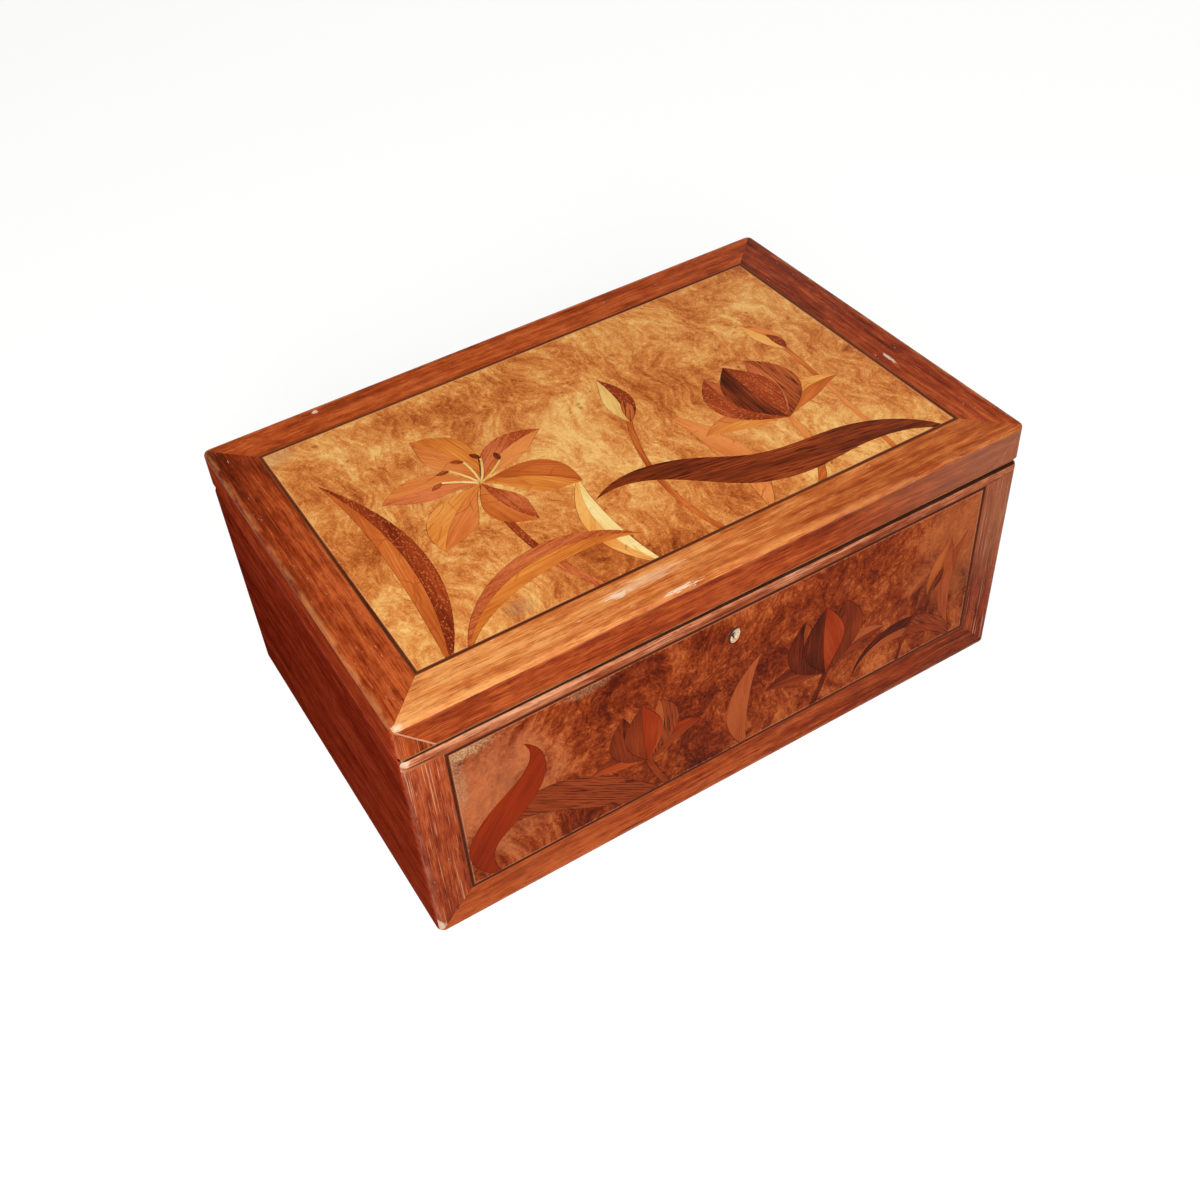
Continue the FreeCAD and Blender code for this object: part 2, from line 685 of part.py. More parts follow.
def stood(solids, place):
    """Flat veneers stood up to face the front, with the drawing's origin at a place."""
    return [s.rotated(Vector(0, 0, 0), ALONG, 90).translated(place) for s in solids]


def make_front_marquetry(field):
    """The front's ground and inlaid veneers, with the keyhole left free."""
    keyhole = oval(ESCUTCHEON_FIT).translated(Vector(0, KEY_HEIGHT - field[2], 0))
    woods, ground = lay(front_picture(), FRONT_SHEET, field, [keyhole])
    foot = Vector(0, -Y_CARCASS, field[2])
    keep("front_burl_ground", *stood(thick(ground), foot))
    for wood, faces in woods.items():
        keep(f"front_inlay_{wood}", *stood(thick(faces), foot))


def make_escutcheon():
    """The small oval plate round the keyhole, on the wall behind the facing and set back from its face."""
    thickness = FACING - ESCUTCHEON_RECESS
    plate = stood([oval().extrude(Vector(0, 0, thickness))], Vector(0, -Y_CARCASS, KEY_HEIGHT))[0]
    radius = DRILL_PIN_RADIUS + LOCK_FIT
    hole = rod(radius, Vector(0, -Y_SIDE, KEY_HEIGHT), INWARD, FACING)
    drop = ESCUTCHEON_HEIGHT / 2 - ESCUTCHEON_RIM
    slot = block(-radius / 2, radius / 2, -Y_SIDE, -Y_CARCASS, KEY_HEIGHT - drop, KEY_HEIGHT)
    keep("keyhole_escutcheon", plate.cut(hole.fuse(slot)))


# Hinges

def hinge_leaf(centre, up):
    """One leaf with its knuckles; up is 1 for the lid's leaf and -1 for the case's."""
    pitch = HINGE_LENGTH / KNUCKLE_COUNT
    start = centre - HINGE_LENGTH / 2
    z0, z1 = leaf_heights(up)
    pieces = [block(start, start + HINGE_LENGTH, Y_INSIDE, LEAF_ROOT, z0, z1)]
    for i in range(1 if up == 1 else 0, KNUCKLE_COUNT, 2):
        x0 = start + i * pitch + KNUCKLE_GAP / 2
        width = pitch - KNUCKLE_GAP
        pieces.append(block(x0, x0 + width, LEAF_ROOT, AXIS_Y, z0, z1))
        pieces.append(rod(KNUCKLE_RADIUS, Vector(x0, AXIS_Y, AXIS_Z), ALONG, width))
    bore = rod(PIN_RADIUS + PIN_CLEARANCE, Vector(start, AXIS_Y, AXIS_Z), ALONG, HINGE_LENGTH)
    return joined(pieces).cut([bore] + holes(RIM_SCREW, hinge_screw_points(up), UP * up))


def make_hinges():
    """Two butt hinges with their pins and screws."""
    pins = []
    for side, centre in zip(("left", "right"), hinge_centres()):
        keep(f"hinge_{side}_case_leaf", hinge_leaf(centre, -1))
        keep(f"hinge_{side}_lid_leaf", hinge_leaf(centre, 1))
        pins.append(rod(PIN_RADIUS, Vector(centre - HINGE_LENGTH / 2, AXIS_Y, AXIS_Z), ALONG, HINGE_LENGTH))
    keep("hinge_pins", *pins)
    keep("hinge_case_screws", *set_in(screw(RIM_SCREW), hinge_screw_points(-1), DOWN))
    keep("hinge_lid_screws", *set_in(screw(RIM_SCREW), hinge_screw_points(1), UP))


# Lock and link plate

def staple_places():
    """The two staples' middles along the box."""
    return [-STAPLE_SPACING / 2, STAPLE_SPACING / 2]


def post_places():
    """The two posts that carry the bolt."""
    return [-POST_SPACING / 2, POST_SPACING / 2]


def make_lock_plate():
    """The lock's inner plate with its selvedge along the rim and the bolt's posts."""
    half = LOCK_WIDTH / 2
    front = LOCK_FACE - LOCK_PLATE - LOCK_CAP_DEPTH
    pieces = [block(-half, half, LOCK_FACE - LOCK_PLATE, LOCK_FACE, CASE_TOP - LOCK_HEIGHT, CASE_TOP),
              block(-half, half, front, LOCK_FACE, CASE_TOP - LOCK_PLATE, CASE_TOP)]
    middle = (BOLT_TOP + BOLT_LOW) / 2
    for x in post_places():
        pieces.append(rod(POST_RADIUS, Vector(x, LOCK_FACE - LOCK_PLATE, middle), OUTWARD, LOCK_ROOM))
    wide = STAPLE_THICKNESS / 2 + STAPLE_CLEARANCE
    deep = LOCK_ROOM / 2
    cuts = [block(x - wide, x + wide, BOLT_Y - deep, BOLT_Y + deep, CASE_TOP - LOCK_PLATE, CASE_TOP)
            for x in staple_places()]
    centre = Vector(0, LOCK_FACE, KEY_HEIGHT)
    cuts.append(rod(DRILL_PIN_RADIUS, centre, OUTWARD, LOCK_PLATE))
    cuts += holes(LOCK_SCREW, lock_screw_points(), OUTWARD)
    keep("lock_plate", joined(pieces).cut(cuts))
    keep("lock_drill_pin", rod(DRILL_PIN_RADIUS, centre, OUTWARD, DRILL_PIN_LENGTH))
    keep("lock_screws", *set_in(screw(LOCK_SCREW), lock_screw_points(), OUTWARD))


def make_lock_cap():
    """The cover over the lock's works, open towards the plate and at the staple slots."""
    half = LOCK_CAP_WIDTH / 2
    y1 = LOCK_FACE - LOCK_PLATE
    y0 = y1 - LOCK_CAP_DEPTH
    z0, z1 = CASE_TOP - LOCK_CAP_HEIGHT, CASE_TOP - LOCK_PLATE
    outer = block(-half, half, y0, y1, z0, z1)
    inner = block(-half + LOCK_CAP_WALL, half - LOCK_CAP_WALL, y0 + LOCK_CAP_WALL, y1, z0 + LOCK_CAP_WALL, z1)
    keep("lock_cap", outer.cut([inner, key_passage(y0, y1)]))


def make_lock_bolt():
    """The sliding bolt with its two tongues, slotted over the posts, and its back spring."""
    y0, y1 = BOLT_Y - BOLT_THICKNESS / 2, BOLT_Y + BOLT_THICKNESS / 2
    tongue_low = CASE_TOP - TONGUE_DROP - TONGUE_HEIGHT / 2
    tongue_top = tongue_low + TONGUE_HEIGHT
    tips = [x - STAPLE_THICKNESS / 2 - TONGUE_REST_GAP for x in staple_places()]
    feet = [tip - TONGUE_REACH - TONGUE_POST for tip in tips]
    pieces = [block(feet[0], STAPLE_SPACING / 2 + BOLT_TAIL, y0, y1, BOLT_LOW, BOLT_TOP)]
    for foot, tip in zip(feet, tips):
        pieces.append(block(foot, tip, y0, y1, tongue_low, tongue_top))
        pieces.append(block(foot, foot + TONGUE_POST, y0, y1, BOLT_TOP, tongue_top))
    radius = POST_RADIUS + BOLT_CLEARANCE
    middle = (BOLT_TOP + BOLT_LOW) / 2
    cuts = [block(-TALON_WIDTH / 2, TALON_WIDTH / 2, y0, y1, BOLT_LOW, BOLT_LOW + TALON_DEPTH)]
    for x in post_places():
        cuts.append(block(x - BOLT_TRAVEL, x, y0, y1, middle - radius, middle + radius))
        cuts += [rod(radius, Vector(end, y0, middle), INWARD, BOLT_THICKNESS) for end in (x - BOLT_TRAVEL, x)]
    keep("lock_bolt", joined(pieces).cut(cuts))
    keep("lock_spring", bow_spring(feet[0] + SPRING_LENGTH / 2, y0))


def bow_spring(centre, y0):
    """A bowed strip that bears on the underside of the bolt at its crown."""
    drop = Vector(0, 0, -SPRING_THICKNESS)
    left = Vector(centre - SPRING_LENGTH / 2, y0, BOLT_LOW - SPRING_SAG)
    right = left + Vector(SPRING_LENGTH, 0, 0)
    crown = Vector(centre, y0, BOLT_LOW)
    edges = [Part.Arc(left, crown, right).toShape(), Part.makeLine(right, right + drop),
             Part.Arc(right + drop, crown + drop, left + drop).toShape(), Part.makeLine(left + drop, left)]
    return Part.Face(Part.Wire(edges)).extrude(Vector(0, BOLT_THICKNESS, 0))


def make_link_plate():
    """The plate under the lid's front rim with its two staples."""
    x, y = LINK_LENGTH / 2, LINK_WIDTH / 2
    pieces = [block(-x, x, BOLT_Y - y, BOLT_Y + y, LID_BOTTOM, LID_BOTTOM + LINK_PLATE)]
    eyes = []
    eye_low = CASE_TOP - TONGUE_DROP - STAPLE_EYE / 2
    half, hole = STAPLE_WIDTH / 2, EYE_WIDTH / 2
    for middle in staple_places():
        x0, x1 = middle - STAPLE_THICKNESS / 2, middle + STAPLE_THICKNESS / 2
        pieces.append(block(x0, x1, BOLT_Y - half, BOLT_Y + half, CASE_TOP - STAPLE_REACH, LID_BOTTOM))
        eyes.append(block(x0, x1, BOLT_Y - hole, BOLT_Y + hole, eye_low, eye_low + STAPLE_EYE))
    keep("lock_link_plate", joined(pieces).cut(eyes + holes(RIM_SCREW, link_screw_points(), UP)))
    keep("link_screws", *set_in(screw(RIM_SCREW), link_screw_points(), UP))


def main():
    """Makes every piece and writes one file per node."""
    make_case_carcass()
    make_lid_carcass()
    make_side_facings()
    make_front_marquetry(make_front_frame())
    make_lid_front()
    make_lid_marquetry(make_top_frame())
    make_escutcheon()
    make_hinges()
    make_lock_plate()
    make_lock_cap()
    make_lock_bolt()
    make_link_plate()
    os.makedirs("parts", exist_ok=True)
    for name, shape in nodes.items():
        shape.exportStep(os.path.join("parts", name + ".step"))
        print(f"{name}: {len(shape.Solids)} solids, {shape.Volume:.1f} mm3")
    print(f"{len(nodes)} nodes")


main()
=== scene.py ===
import logging
import math
from dataclasses import dataclass
from enum import Enum
from typing import Any, Sequence, Union

import bpy
import numpy as np
from mathutils import Matrix, Vector


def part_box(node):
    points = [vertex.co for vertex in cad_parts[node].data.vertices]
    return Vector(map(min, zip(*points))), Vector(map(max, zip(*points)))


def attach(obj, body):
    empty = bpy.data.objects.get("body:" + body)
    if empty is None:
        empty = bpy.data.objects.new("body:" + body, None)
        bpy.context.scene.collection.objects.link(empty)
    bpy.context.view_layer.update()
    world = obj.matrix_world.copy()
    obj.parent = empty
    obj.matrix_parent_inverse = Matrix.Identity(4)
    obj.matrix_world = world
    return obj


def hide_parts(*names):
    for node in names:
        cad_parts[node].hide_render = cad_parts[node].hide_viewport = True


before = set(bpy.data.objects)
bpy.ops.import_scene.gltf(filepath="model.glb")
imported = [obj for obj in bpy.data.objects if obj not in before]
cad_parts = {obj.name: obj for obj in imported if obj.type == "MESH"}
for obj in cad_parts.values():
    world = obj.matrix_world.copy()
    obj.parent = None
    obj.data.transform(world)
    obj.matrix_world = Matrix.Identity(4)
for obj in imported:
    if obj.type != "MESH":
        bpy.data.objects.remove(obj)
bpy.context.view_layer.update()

log = logging.getLogger("marquetry_box")

Colour = tuple[int, int, int]
Pair = tuple[float, float]
Triple = tuple[float, float, float]
Number = Union[float, "Field"]
Stops = Sequence[tuple[float, Colour]]

# Half sizes and levels of the box, in metres
HALF_LENGTH = 0.150
HALF_DEPTH = 0.0985
LID_TOP = 0.132
LID_FOOT = 0.1146
CASE_TOP = 0.1128

# How far from the middle the slanting joints on the lid's front reach its foot
MITRE_FOOT = 0.1342

# The lid's block is taken this much lower than its foot, so that its lower edges stay unworn
UNWORN_DROP = 0.004

# Layers that the inlays carry
GRAIN_MAP = "grain"
TONE = "tone"
SHARE = "share"

# Widths of marks, in metres
ARRIS_WIDTH = 0.0032
GLUE_LINE = 0.0007
JOINT_LINE = 0.0005
# The soft edge of the painted shade in the gap under the lid
GAP_SHADE_EDGE = 0.0003
SPECK = 0.0003

# Share of a mark's width that has its full strength
LINE_CORE = 0.3
MARK_CORE = 0.5

# How much the painted shade in the gap widens to the right, in metres for each metre
GAP_SLOPE = 0.0025

# Heights that a bump of one stands for, in metres
WOOD_RELIEF = 0.00005
VENEER_RELIEF = 0.00004
PINE_RELIEF = 0.00006
BONE_RELIEF = 0.00008
METAL_RELIEF = 0.00003

# Colours of wear, glue and dust, of painted highlights on some corners, and of the painted shade in the gap
# under the lid
CHIP = (248, 220, 186)
# Bare wood at scuffs, also used for painted highlights on corners
BARE_AND_HIGHLIGHT = (246, 216, 186)
RUBBED = (232, 150, 86)
PALE_GLUE = (226, 172, 132)
DUST = (238, 206, 172)
GAP_SHADE = (34, 10, 4)

# The distance at which vertices merge, and a length too small to matter, in metres
MERGE_DISTANCE = 1e-6
NO_LENGTH = 1e-9


def paint(colour: Colour) -> tuple[float, float, float, float]:
    """A colour written in screen values as the linear values that shaders take.

    Args:
        colour: Red, green and blue from 0 to 255.

    Returns:
        The linear colour with full alpha.
    """
    shares = [channel / 255 for channel in colour]
    linear = [s / 12.92 if s <= 0.04045 else ((s + 0.055) / 1.055) ** 2.4 for s in shares]
    return (*linear, 1.0)


class Grain(Enum):
    """The axis that a board's grain runs along."""

    ALONG = 0
    DEEP = 1
    UPRIGHT = 2

    def pair(self, along: float, across: float) -> Triple:
        """Repeats on each axis of a pattern with so many along the grain and so many across it."""
        return tuple(along if axis == self.value else across for axis in range(3))


class Side(Enum):
    """The two faces that carry a picture, by the axes that they lie in."""

    TOP = (0, 1)
    FRONT = (0, 2)


class Figure(Enum):
    """What a veneer's wood shows besides its grain."""

    PLAIN = "plain"
    DOTTED = "dotted"
    STRIPED = "striped"
    CRACKED = "cracked"


class Cells(Enum):
    """What scattered cells measure the distance to."""

    CENTRES = "F1"
    EDGES = "DISTANCE_TO_EDGE"


class Mark(Enum):
    """Marks in a frame wood: repeats in a metre along the grain and across it, and a shift of the seed."""

    BANDS = (6.0, 65.0, 0.0)
    STREAKS = (26.0, 420.0, 0.0)
    FIBRE = (110.0, 1900.0, 0.0)
    MOTTLE = (110.0, 170.0, 0.0)
    PORES = (210.0, 2600.0, 3.0)
    FLECKS = (28.0, 1700.0, 11.0)
    WEAR = (60.0, 160.0, 5.0)
    RAGS = (130.0, 900.0, 7.0)
    SHREDS = (320.0, 2600.0, 8.0)


class Field:
    """A shader socket that sums can be written with."""

    def __init__(self, tree: "Tree", socket: bpy.types.NodeSocket) -> None:
        """Keeps a socket and the tree that it is in."""
        self.tree = tree
        self.socket = socket

    def maths(self, operation: str, *values: Number) -> "Field":
        """A Math node over some values."""
        return self.tree.node("ShaderNodeMath", {"operation": operation}, dict(enumerate(values)))

    def __add__(self, other: Number) -> "Field":
        """Sum."""
        return self.maths("ADD", self, other)

    def __sub__(self, other: Number) -> "Field":
        """Difference."""
        return self.maths("SUBTRACT", self, other)

    def __rsub__(self, other: Number) -> "Field":
        """Difference, the other way round."""
        return self.maths("SUBTRACT", other, self)

    def __mul__(self, other: Number) -> "Field":
        """Product."""
        return self.maths("MULTIPLY", self, other)

    def __abs__(self) -> "Field":
        """Size without its sign."""
        return self.maths("ABSOLUTE", self)

    __radd__ = __add__
    __rmul__ = __mul__

    def least(self, other: Number) -> "Field":
        """The lesser of two values."""
        return self.maths("MINIMUM", self, other)

    def most(self, other: Number) -> "Field":
        """The greater of two values."""
        return self.maths("MAXIMUM", self, other)

    def wave(self) -> "Field":
        """The sine."""
        return self.maths("SINE", self)

    def step(self, low: float, high: float) -> "Field":
        """A soft step.

        Args:
            low: Where it is 0.
            high: Where it is 1; it may be less than low.

        Returns:
            The step, from 0 to 1.
        """
        if low > high:
            return 1.0 - self.step(high, low)
        sockets = {"Value": self, "From Min": low, "From Max": high}
        return self.tree.node("ShaderNodeMapRange", {"interpolation_type": "SMOOTHSTEP"}, sockets)


class Tree:
    """A material's nodes, written from code."""

    def __init__(self, name: str) -> None:
        """Starts an empty material."""
        self.material = bpy.data.materials.new(name)
        self.material.use_nodes = True
        self.nodes = self.material.node_tree.nodes
        self.links = self.material.node_tree.links
        self.nodes.clear()

    def node(self, kind: str, settings: dict[str, Any], sockets: dict[Any, Any],
             out: Union[int, str] = 0) -> Field:
        """Adds a node.

        Args:
            kind: The node's type.
            settings: Properties, set first; a ramp's stops are pairs of place and colour.
            sockets: Values or links by the socket's name or number.
            out: The output that is wanted.

        Returns:
            That output.
        """
        made = self.nodes.new(kind)
        for name, value in settings.items():
            if name == "stops":
                self._set_stops(made.color_ramp, value)
            else:
                setattr(made, name, value)
        for name, value in sockets.items():
            if isinstance(value, Field):
                self.links.new(value.socket, made.inputs[name])
            else:
                made.inputs[name].default_value = value
        return Field(self, made.outputs[out])

    @staticmethod
    def _set_stops(ramp: bpy.types.ColorRamp, stops: Stops) -> None:
        """Gives a ramp its stops."""
        while len(ramp.elements) < len(stops):
            ramp.elements.new(1.0)
        for element, (place, colour) in zip(ramp.elements, stops):
            element.position = place
            element.color = paint(colour)

    def place(self) -> Field:
        """The point of the surface, in the object's own frame."""
        return self.node("ShaderNodeTexCoord", {}, {}, "Object")

    def axes(self, vector: Field) -> tuple[Field, Field, Field]:
        """A vector's three parts."""
        split = self.node("ShaderNodeSeparateXYZ", {}, {0: vector}).socket.node
        return tuple(Field(self, out) for out in split.outputs)

    def size(self, vector: Field) -> Field:
        """A vector's length."""
        return self.node("ShaderNodeVectorMath", {"operation": "LENGTH"}, {0: vector}, "Value")

    def spread(self, vector: Field, factors: Triple, shift: float = 0.0) -> Field:
        """A vector times a factor on each axis, moved by a shift on all axes."""
        sockets = {0: vector, 1: factors, 2: (shift,) * 3}
        return self.node("ShaderNodeVectorMath", {"operation": "MULTIPLY_ADD"}, sockets)

    def even(self, vector: Field, factor: float, shift: float = 0.0) -> Field:
        """A vector times one factor on all axes, moved by a shift."""
        return self.spread(vector, (factor,) * 3, shift)

    def noise(self, vector: Field, detail: float = 2.0, rough: float = 0.5, twist: float = 0.0) -> Field:
        """Cloudy noise.

        Args:
            vector: Where it is read, in repeats.
            detail: How many finer layers it has.
            rough: How strong the finer layers are.
            twist: How far it is bent by itself.

        Returns:
            The noise, from 0 to 1.
        """
        sockets = {"Vector": vector, "Scale": 1.0, "Detail": detail, "Roughness": rough}
        return self.node("ShaderNodeTexNoise", {}, {**sockets, "Distortion": twist})

    def bent(self, vector: Field, often: float, reach: float) -> Field:
        """A vector that noise pushes about, so many times in a metre and over so wide a range."""
        sockets = {"Vector": vector, "Scale": often, "Detail": 2.0}
        push = self.node("ShaderNodeTexNoise", {}, sockets, "Color")
        centred = self.even(push, reach, -reach / 2)
        return self.node("ShaderNodeVectorMath", {"operation": "ADD"}, {0: vector, 1: centred})

    def cells(self, vector: Field, measure: Cells = Cells.CENTRES) -> Field:
        """Distance to the nearest of scattered points, or to the edge between two, in repeats."""
        sockets = {"Vector": vector, "Scale": 1.0}
        return self.node("ShaderNodeTexVoronoi", {"feature": measure.value}, sockets, "Distance")

    def ramp(self, value: Field, stops: Stops) -> Field:
        """Colour by value."""
        return self.node("ShaderNodeValToRGB", {"stops": stops}, {0: value})

    def blend(self, share: Number, under: Field, over: Union[Field, Colour]) -> Field:
        """One colour with a share of another laid over it."""
        top = over if isinstance(over, Field) else paint(over)
        return self.node("ShaderNodeMix", {"data_type": "RGBA"}, {0: share, 6: under, 7: top}, 2)

    def surface(self, colour: Field, roughness: Field, height: Field, relief: float,
                others: dict[str, Number]) -> bpy.types.Material:
        """Ends the material.

        Args:
            colour: Base colour.
            roughness: Roughness.
            height: Relief as a value.
            relief: Metres that a height of one stands for.
            others: Further values by the shader's sockets.

        Returns:
            The material.
        """
        heights = {"Strength": 1.0, "Distance": relief, "Height": height}
        bump = self.node("ShaderNodeBump", {}, heights, "Normal")
        sockets = {"Base Color": colour, "Roughness": roughness, "Normal": bump, **others}
        return self.end(self.node("ShaderNodeBsdfPrincipled", {}, sockets))

    def end(self, shader: Field) -> bpy.types.Material:
        """Joins a shader to the material's output."""
        out = self.nodes.new("ShaderNodeOutputMaterial")
        self.links.new(shader.socket, out.inputs["Surface"])
        return self.material

    def arris(self, place: Field, block: "Block", width: float) -> Field:
        """A mask of a block's outer edges, 1 on the arris and 0 beyond a width from it."""
        x, y, z = self.axes(place)
        end, face = HALF_LENGTH - abs(x), HALF_DEPTH - abs(y)
        level = (z - block.low).least(block.high - z)
        nearest = (end + face).least(end + level).least(face + level)
        return nearest.step(width, width * LINE_CORE)

    def line(self, place: Field, joint: "Joint") -> Field:
        """A mask of a joint's line."""
        across = Vector(joint.across).normalized()
        sockets = {0: place, 1: tuple(across)}
        away = self.node("ShaderNodeVectorMath", {"operation": "DOT_PRODUCT"}, sockets, "Value")
        gap = abs(away - across.dot(Vector(joint.point)))
        return gap.step(joint.width, joint.width * LINE_CORE)

    def border(self, place: Field, node: str, width: float) -> Field:
        """A mask of the strip along the four edges of a node's flat face.

        Args:
            place: The point of the surface.
            node: The node's name.
            width: The strip's width.

        Returns:
            The mask, 1 at the edges.
        """
        low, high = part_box(node)
        flat = sorted(range(3), key=lambda axis: high[axis] - low[axis])[1:]
        parts = self.axes(place)
        gaps = [gap for axis in flat for gap in (parts[axis] - low[axis], high[axis] - parts[axis])]
        nearest = gaps[0].least(gaps[1]).least(gaps[2]).least(gaps[3])
        return nearest.step(width, width * MARK_CORE)

    def specks(self, place: Field, often: float, size: float) -> Field:
        """A mask of round specks in patches, so many in a metre and so large."""
        near = self.cells(self.even(place, often))
        chosen = self.noise(self.even(place, often * 0.4, 5.0), 0.0).step(0.56, 0.60)
        return near.step(size * often, size * often * MARK_CORE) * chosen

    def spot(self, place: Field, spot: "Spot") -> Field:
        """A soft round mask, 1 at a spot's centre and 0 at its reach."""
        moved = self.spread(place, tuple(1 / r for r in spot.reach))
        off = tuple(-c / r for c, r in zip(spot.centre, spot.reach))
        away = self.node("ShaderNodeVectorMath", {"operation": "ADD"}, {0: moved, 1: off})
        return self.size(away).step(1.0, 0.0)


@dataclass(frozen=True)
class Block:
    """A block's lowest and highest levels."""

    low: float
    high: float


LID_BLOCK = Block(LID_FOOT - UNWORN_DROP, LID_TOP)
CASE_BLOCK = Block(0.0, CASE_TOP)


@dataclass(frozen=True)
class Spot:
    """A soft round place: its centre, and how far it reaches on each axis."""

    centre: Triple
    reach: Triple


@dataclass(frozen=True)
class ScuffAndLight(Spot):
    """A place on a finish that is rubbed, chipped, dusty or hazy, or a painted highlight or painted pool of
    light.
    """

    colour: Colour
    strength: float


@dataclass(frozen=True)
class Cloud(Spot):
    """A darker stretch of a burl's figure."""

    depth: float


@dataclass(frozen=True)
class Joint:
    """A glued joint that shows as a thin line: the plane through a point, across a direction."""

    point: Triple
    across: Triple
    colour: Colour
    strength: float
    width: float = JOINT_LINE


@dataclass(frozen=True)
class Tones:
    """A wood's dark, middle and light colours."""

    dark: Colour
    mid: Colour
    light: Colour

    def stops(self, *places: float) -> Stops:
        """A ramp's stops, with the three colours at three places."""
        return tuple(zip(places, (self.dark, self.mid, self.light)))


@dataclass(frozen=True)
class Timber:
    """A softwood's colours: early wood, late wood, and the stain in its pores."""

    early: Colour
    late: Colour
    stain: Colour


@dataclass(frozen=True)
class FrameWood:
    """Red-brown hardwood: mottled grain with short dark pores, rubbed and polished along its arrises, with
    painted shade where the light falls off and, where asked, in the gap under the lid.
    """

    name: str
    grain: Grain
    block: Block
    tones: Tones
    rubbed: Colour
    wear: float
    gloss: float
    seed: float
    pore: Colour = (58, 16, 5)
    porous: float = 0.5
    # Painted shade: how far the tone falls off towards the right end and towards the back, as the light
    # falls off
    tilt: Pair = (0.0, 0.0)
    flecks: float = 0.12
    polish: float = 0.35
    # Painted shade in the gap under the lid: the level above which the wood is darkened, 0 for none
    gap_shade: float = 0.0
    scuffs: tuple[ScuffAndLight, ...] = ()
    hazes: tuple[ScuffAndLight, ...] = ()
    joints: tuple[Joint, ...] = ()

    def material(self) -> bpy.types.Material:
        """The wood as a material."""
        tree = Tree(self.name)
        place = tree.place()
        streaks = self._figure(tree, place, Mark.STREAKS)
        fibre = self._figure(tree, place, Mark.FIBRE)
        pores = self._figure(tree, place, Mark.PORES).step(0.56, 0.66)
        flecks = self._figure(tree, place, Mark.FLECKS).step(0.57, 0.64)
        edge = tree.arris(place, self.block, ARRIS_WIDTH)
        worn = edge * self._figure(tree, place, Mark.WEAR).step(0.42, 0.62)
        colour = self._wood(tree, place, streaks, fibre)
        colour = tree.blend(pores * self.porous, colour, self.pore)
        colour = tree.blend(flecks * self.flecks, colour, self.rubbed)
        colour = tree.blend(worn * self.wear, colour, self.rubbed)
        colour = self._damage(tree, place, streaks, colour)
        sag = tree.noise(tree.even(place, 35.0, self.seed), 2.0)
        roughness = fibre * 0.2 + pores * 0.15 + worn * 0.1 + 0.24
        height = fibre * 0.6 - pores * 0.9 + sag * 4.0
        coat = {"Coat Weight": edge * self.polish, "Coat Roughness": 0.16}
        others = {"Specular IOR Level": self.gloss, **coat}
        return tree.surface(colour, roughness, height, WOOD_RELIEF, others)

    def _figure(self, tree: Tree, place: Field, mark: Mark) -> Field:
        """Noise drawn out along the grain, as often as a mark repeats."""
        along, across, shift = mark.value
        return tree.noise(tree.spread(place, self.grain.pair(along, across), self.seed + shift), 3.0, 0.6)

    def _wood(self, tree: Tree, place: Field, streaks: Field, fibre: Field) -> Field:
        """The colour of the sound wood, from the noise of its streaks and fibre, with painted shade sloping
        along the box where the light falls off.
        """
        bands = self._figure(tree, place, Mark.BANDS)
        mottle = self._figure(tree, place, Mark.MOTTLE)
        # Painted shade: a straight slope in the wood's tone along the box and towards its back, standing
        # for light falling off from the lamp
        x, y, _ = tree.axes(place)
        lean = x * (self.tilt[0] / HALF_LENGTH) + y * (self.tilt[1] / HALF_DEPTH)
        value = bands * 0.65 + streaks * 0.65 + fibre * 0.65 + mottle * 0.4 - 0.675 - lean
        return tree.ramp(value, self.tones.stops(0.27, 0.50, 0.73))

    def _damage(self, tree: Tree, place: Field, streaks: Field, colour: Field) -> Field:
        """A colour with hazes and painted light, scuffs and painted highlights, joints and the painted
        shade of the gap laid over it.
        """
        # Hazes of the finish, and painted light, as soft pale spots
        for haze in self.hazes:
            cover = tree.spot(place, haze) * (streaks * 0.8 + 0.6)
            colour = tree.blend(cover * haze.strength, colour, haze.colour)
        ragged = self._figure(tree, place, Mark.RAGS) + self._figure(tree, place, Mark.SHREDS)
        # Scuffs, and painted highlights on corners, as pale ragged spots
        for scuff in self.scuffs:
            mask = (tree.spot(place, scuff) + ragged * 1.5).step(1.90, 2.15)
            colour = tree.blend(mask * scuff.strength, colour, scuff.colour)
        for joint in self.joints:
            colour = tree.blend(tree.line(place, joint) * joint.strength, colour, joint.colour)
        # Painted shade: wood above a level near the case's top, reaching lower towards the right, is
        # darkened where the lid shades the gap
        if self.gap_shade:
            x, _, z = tree.axes(place)
            gap = (z + x * GAP_SLOPE).step(self.gap_shade, self.gap_shade + GAP_SHADE_EDGE)
            colour = tree.blend(gap * 0.95, colour, GAP_SHADE)
        return colour


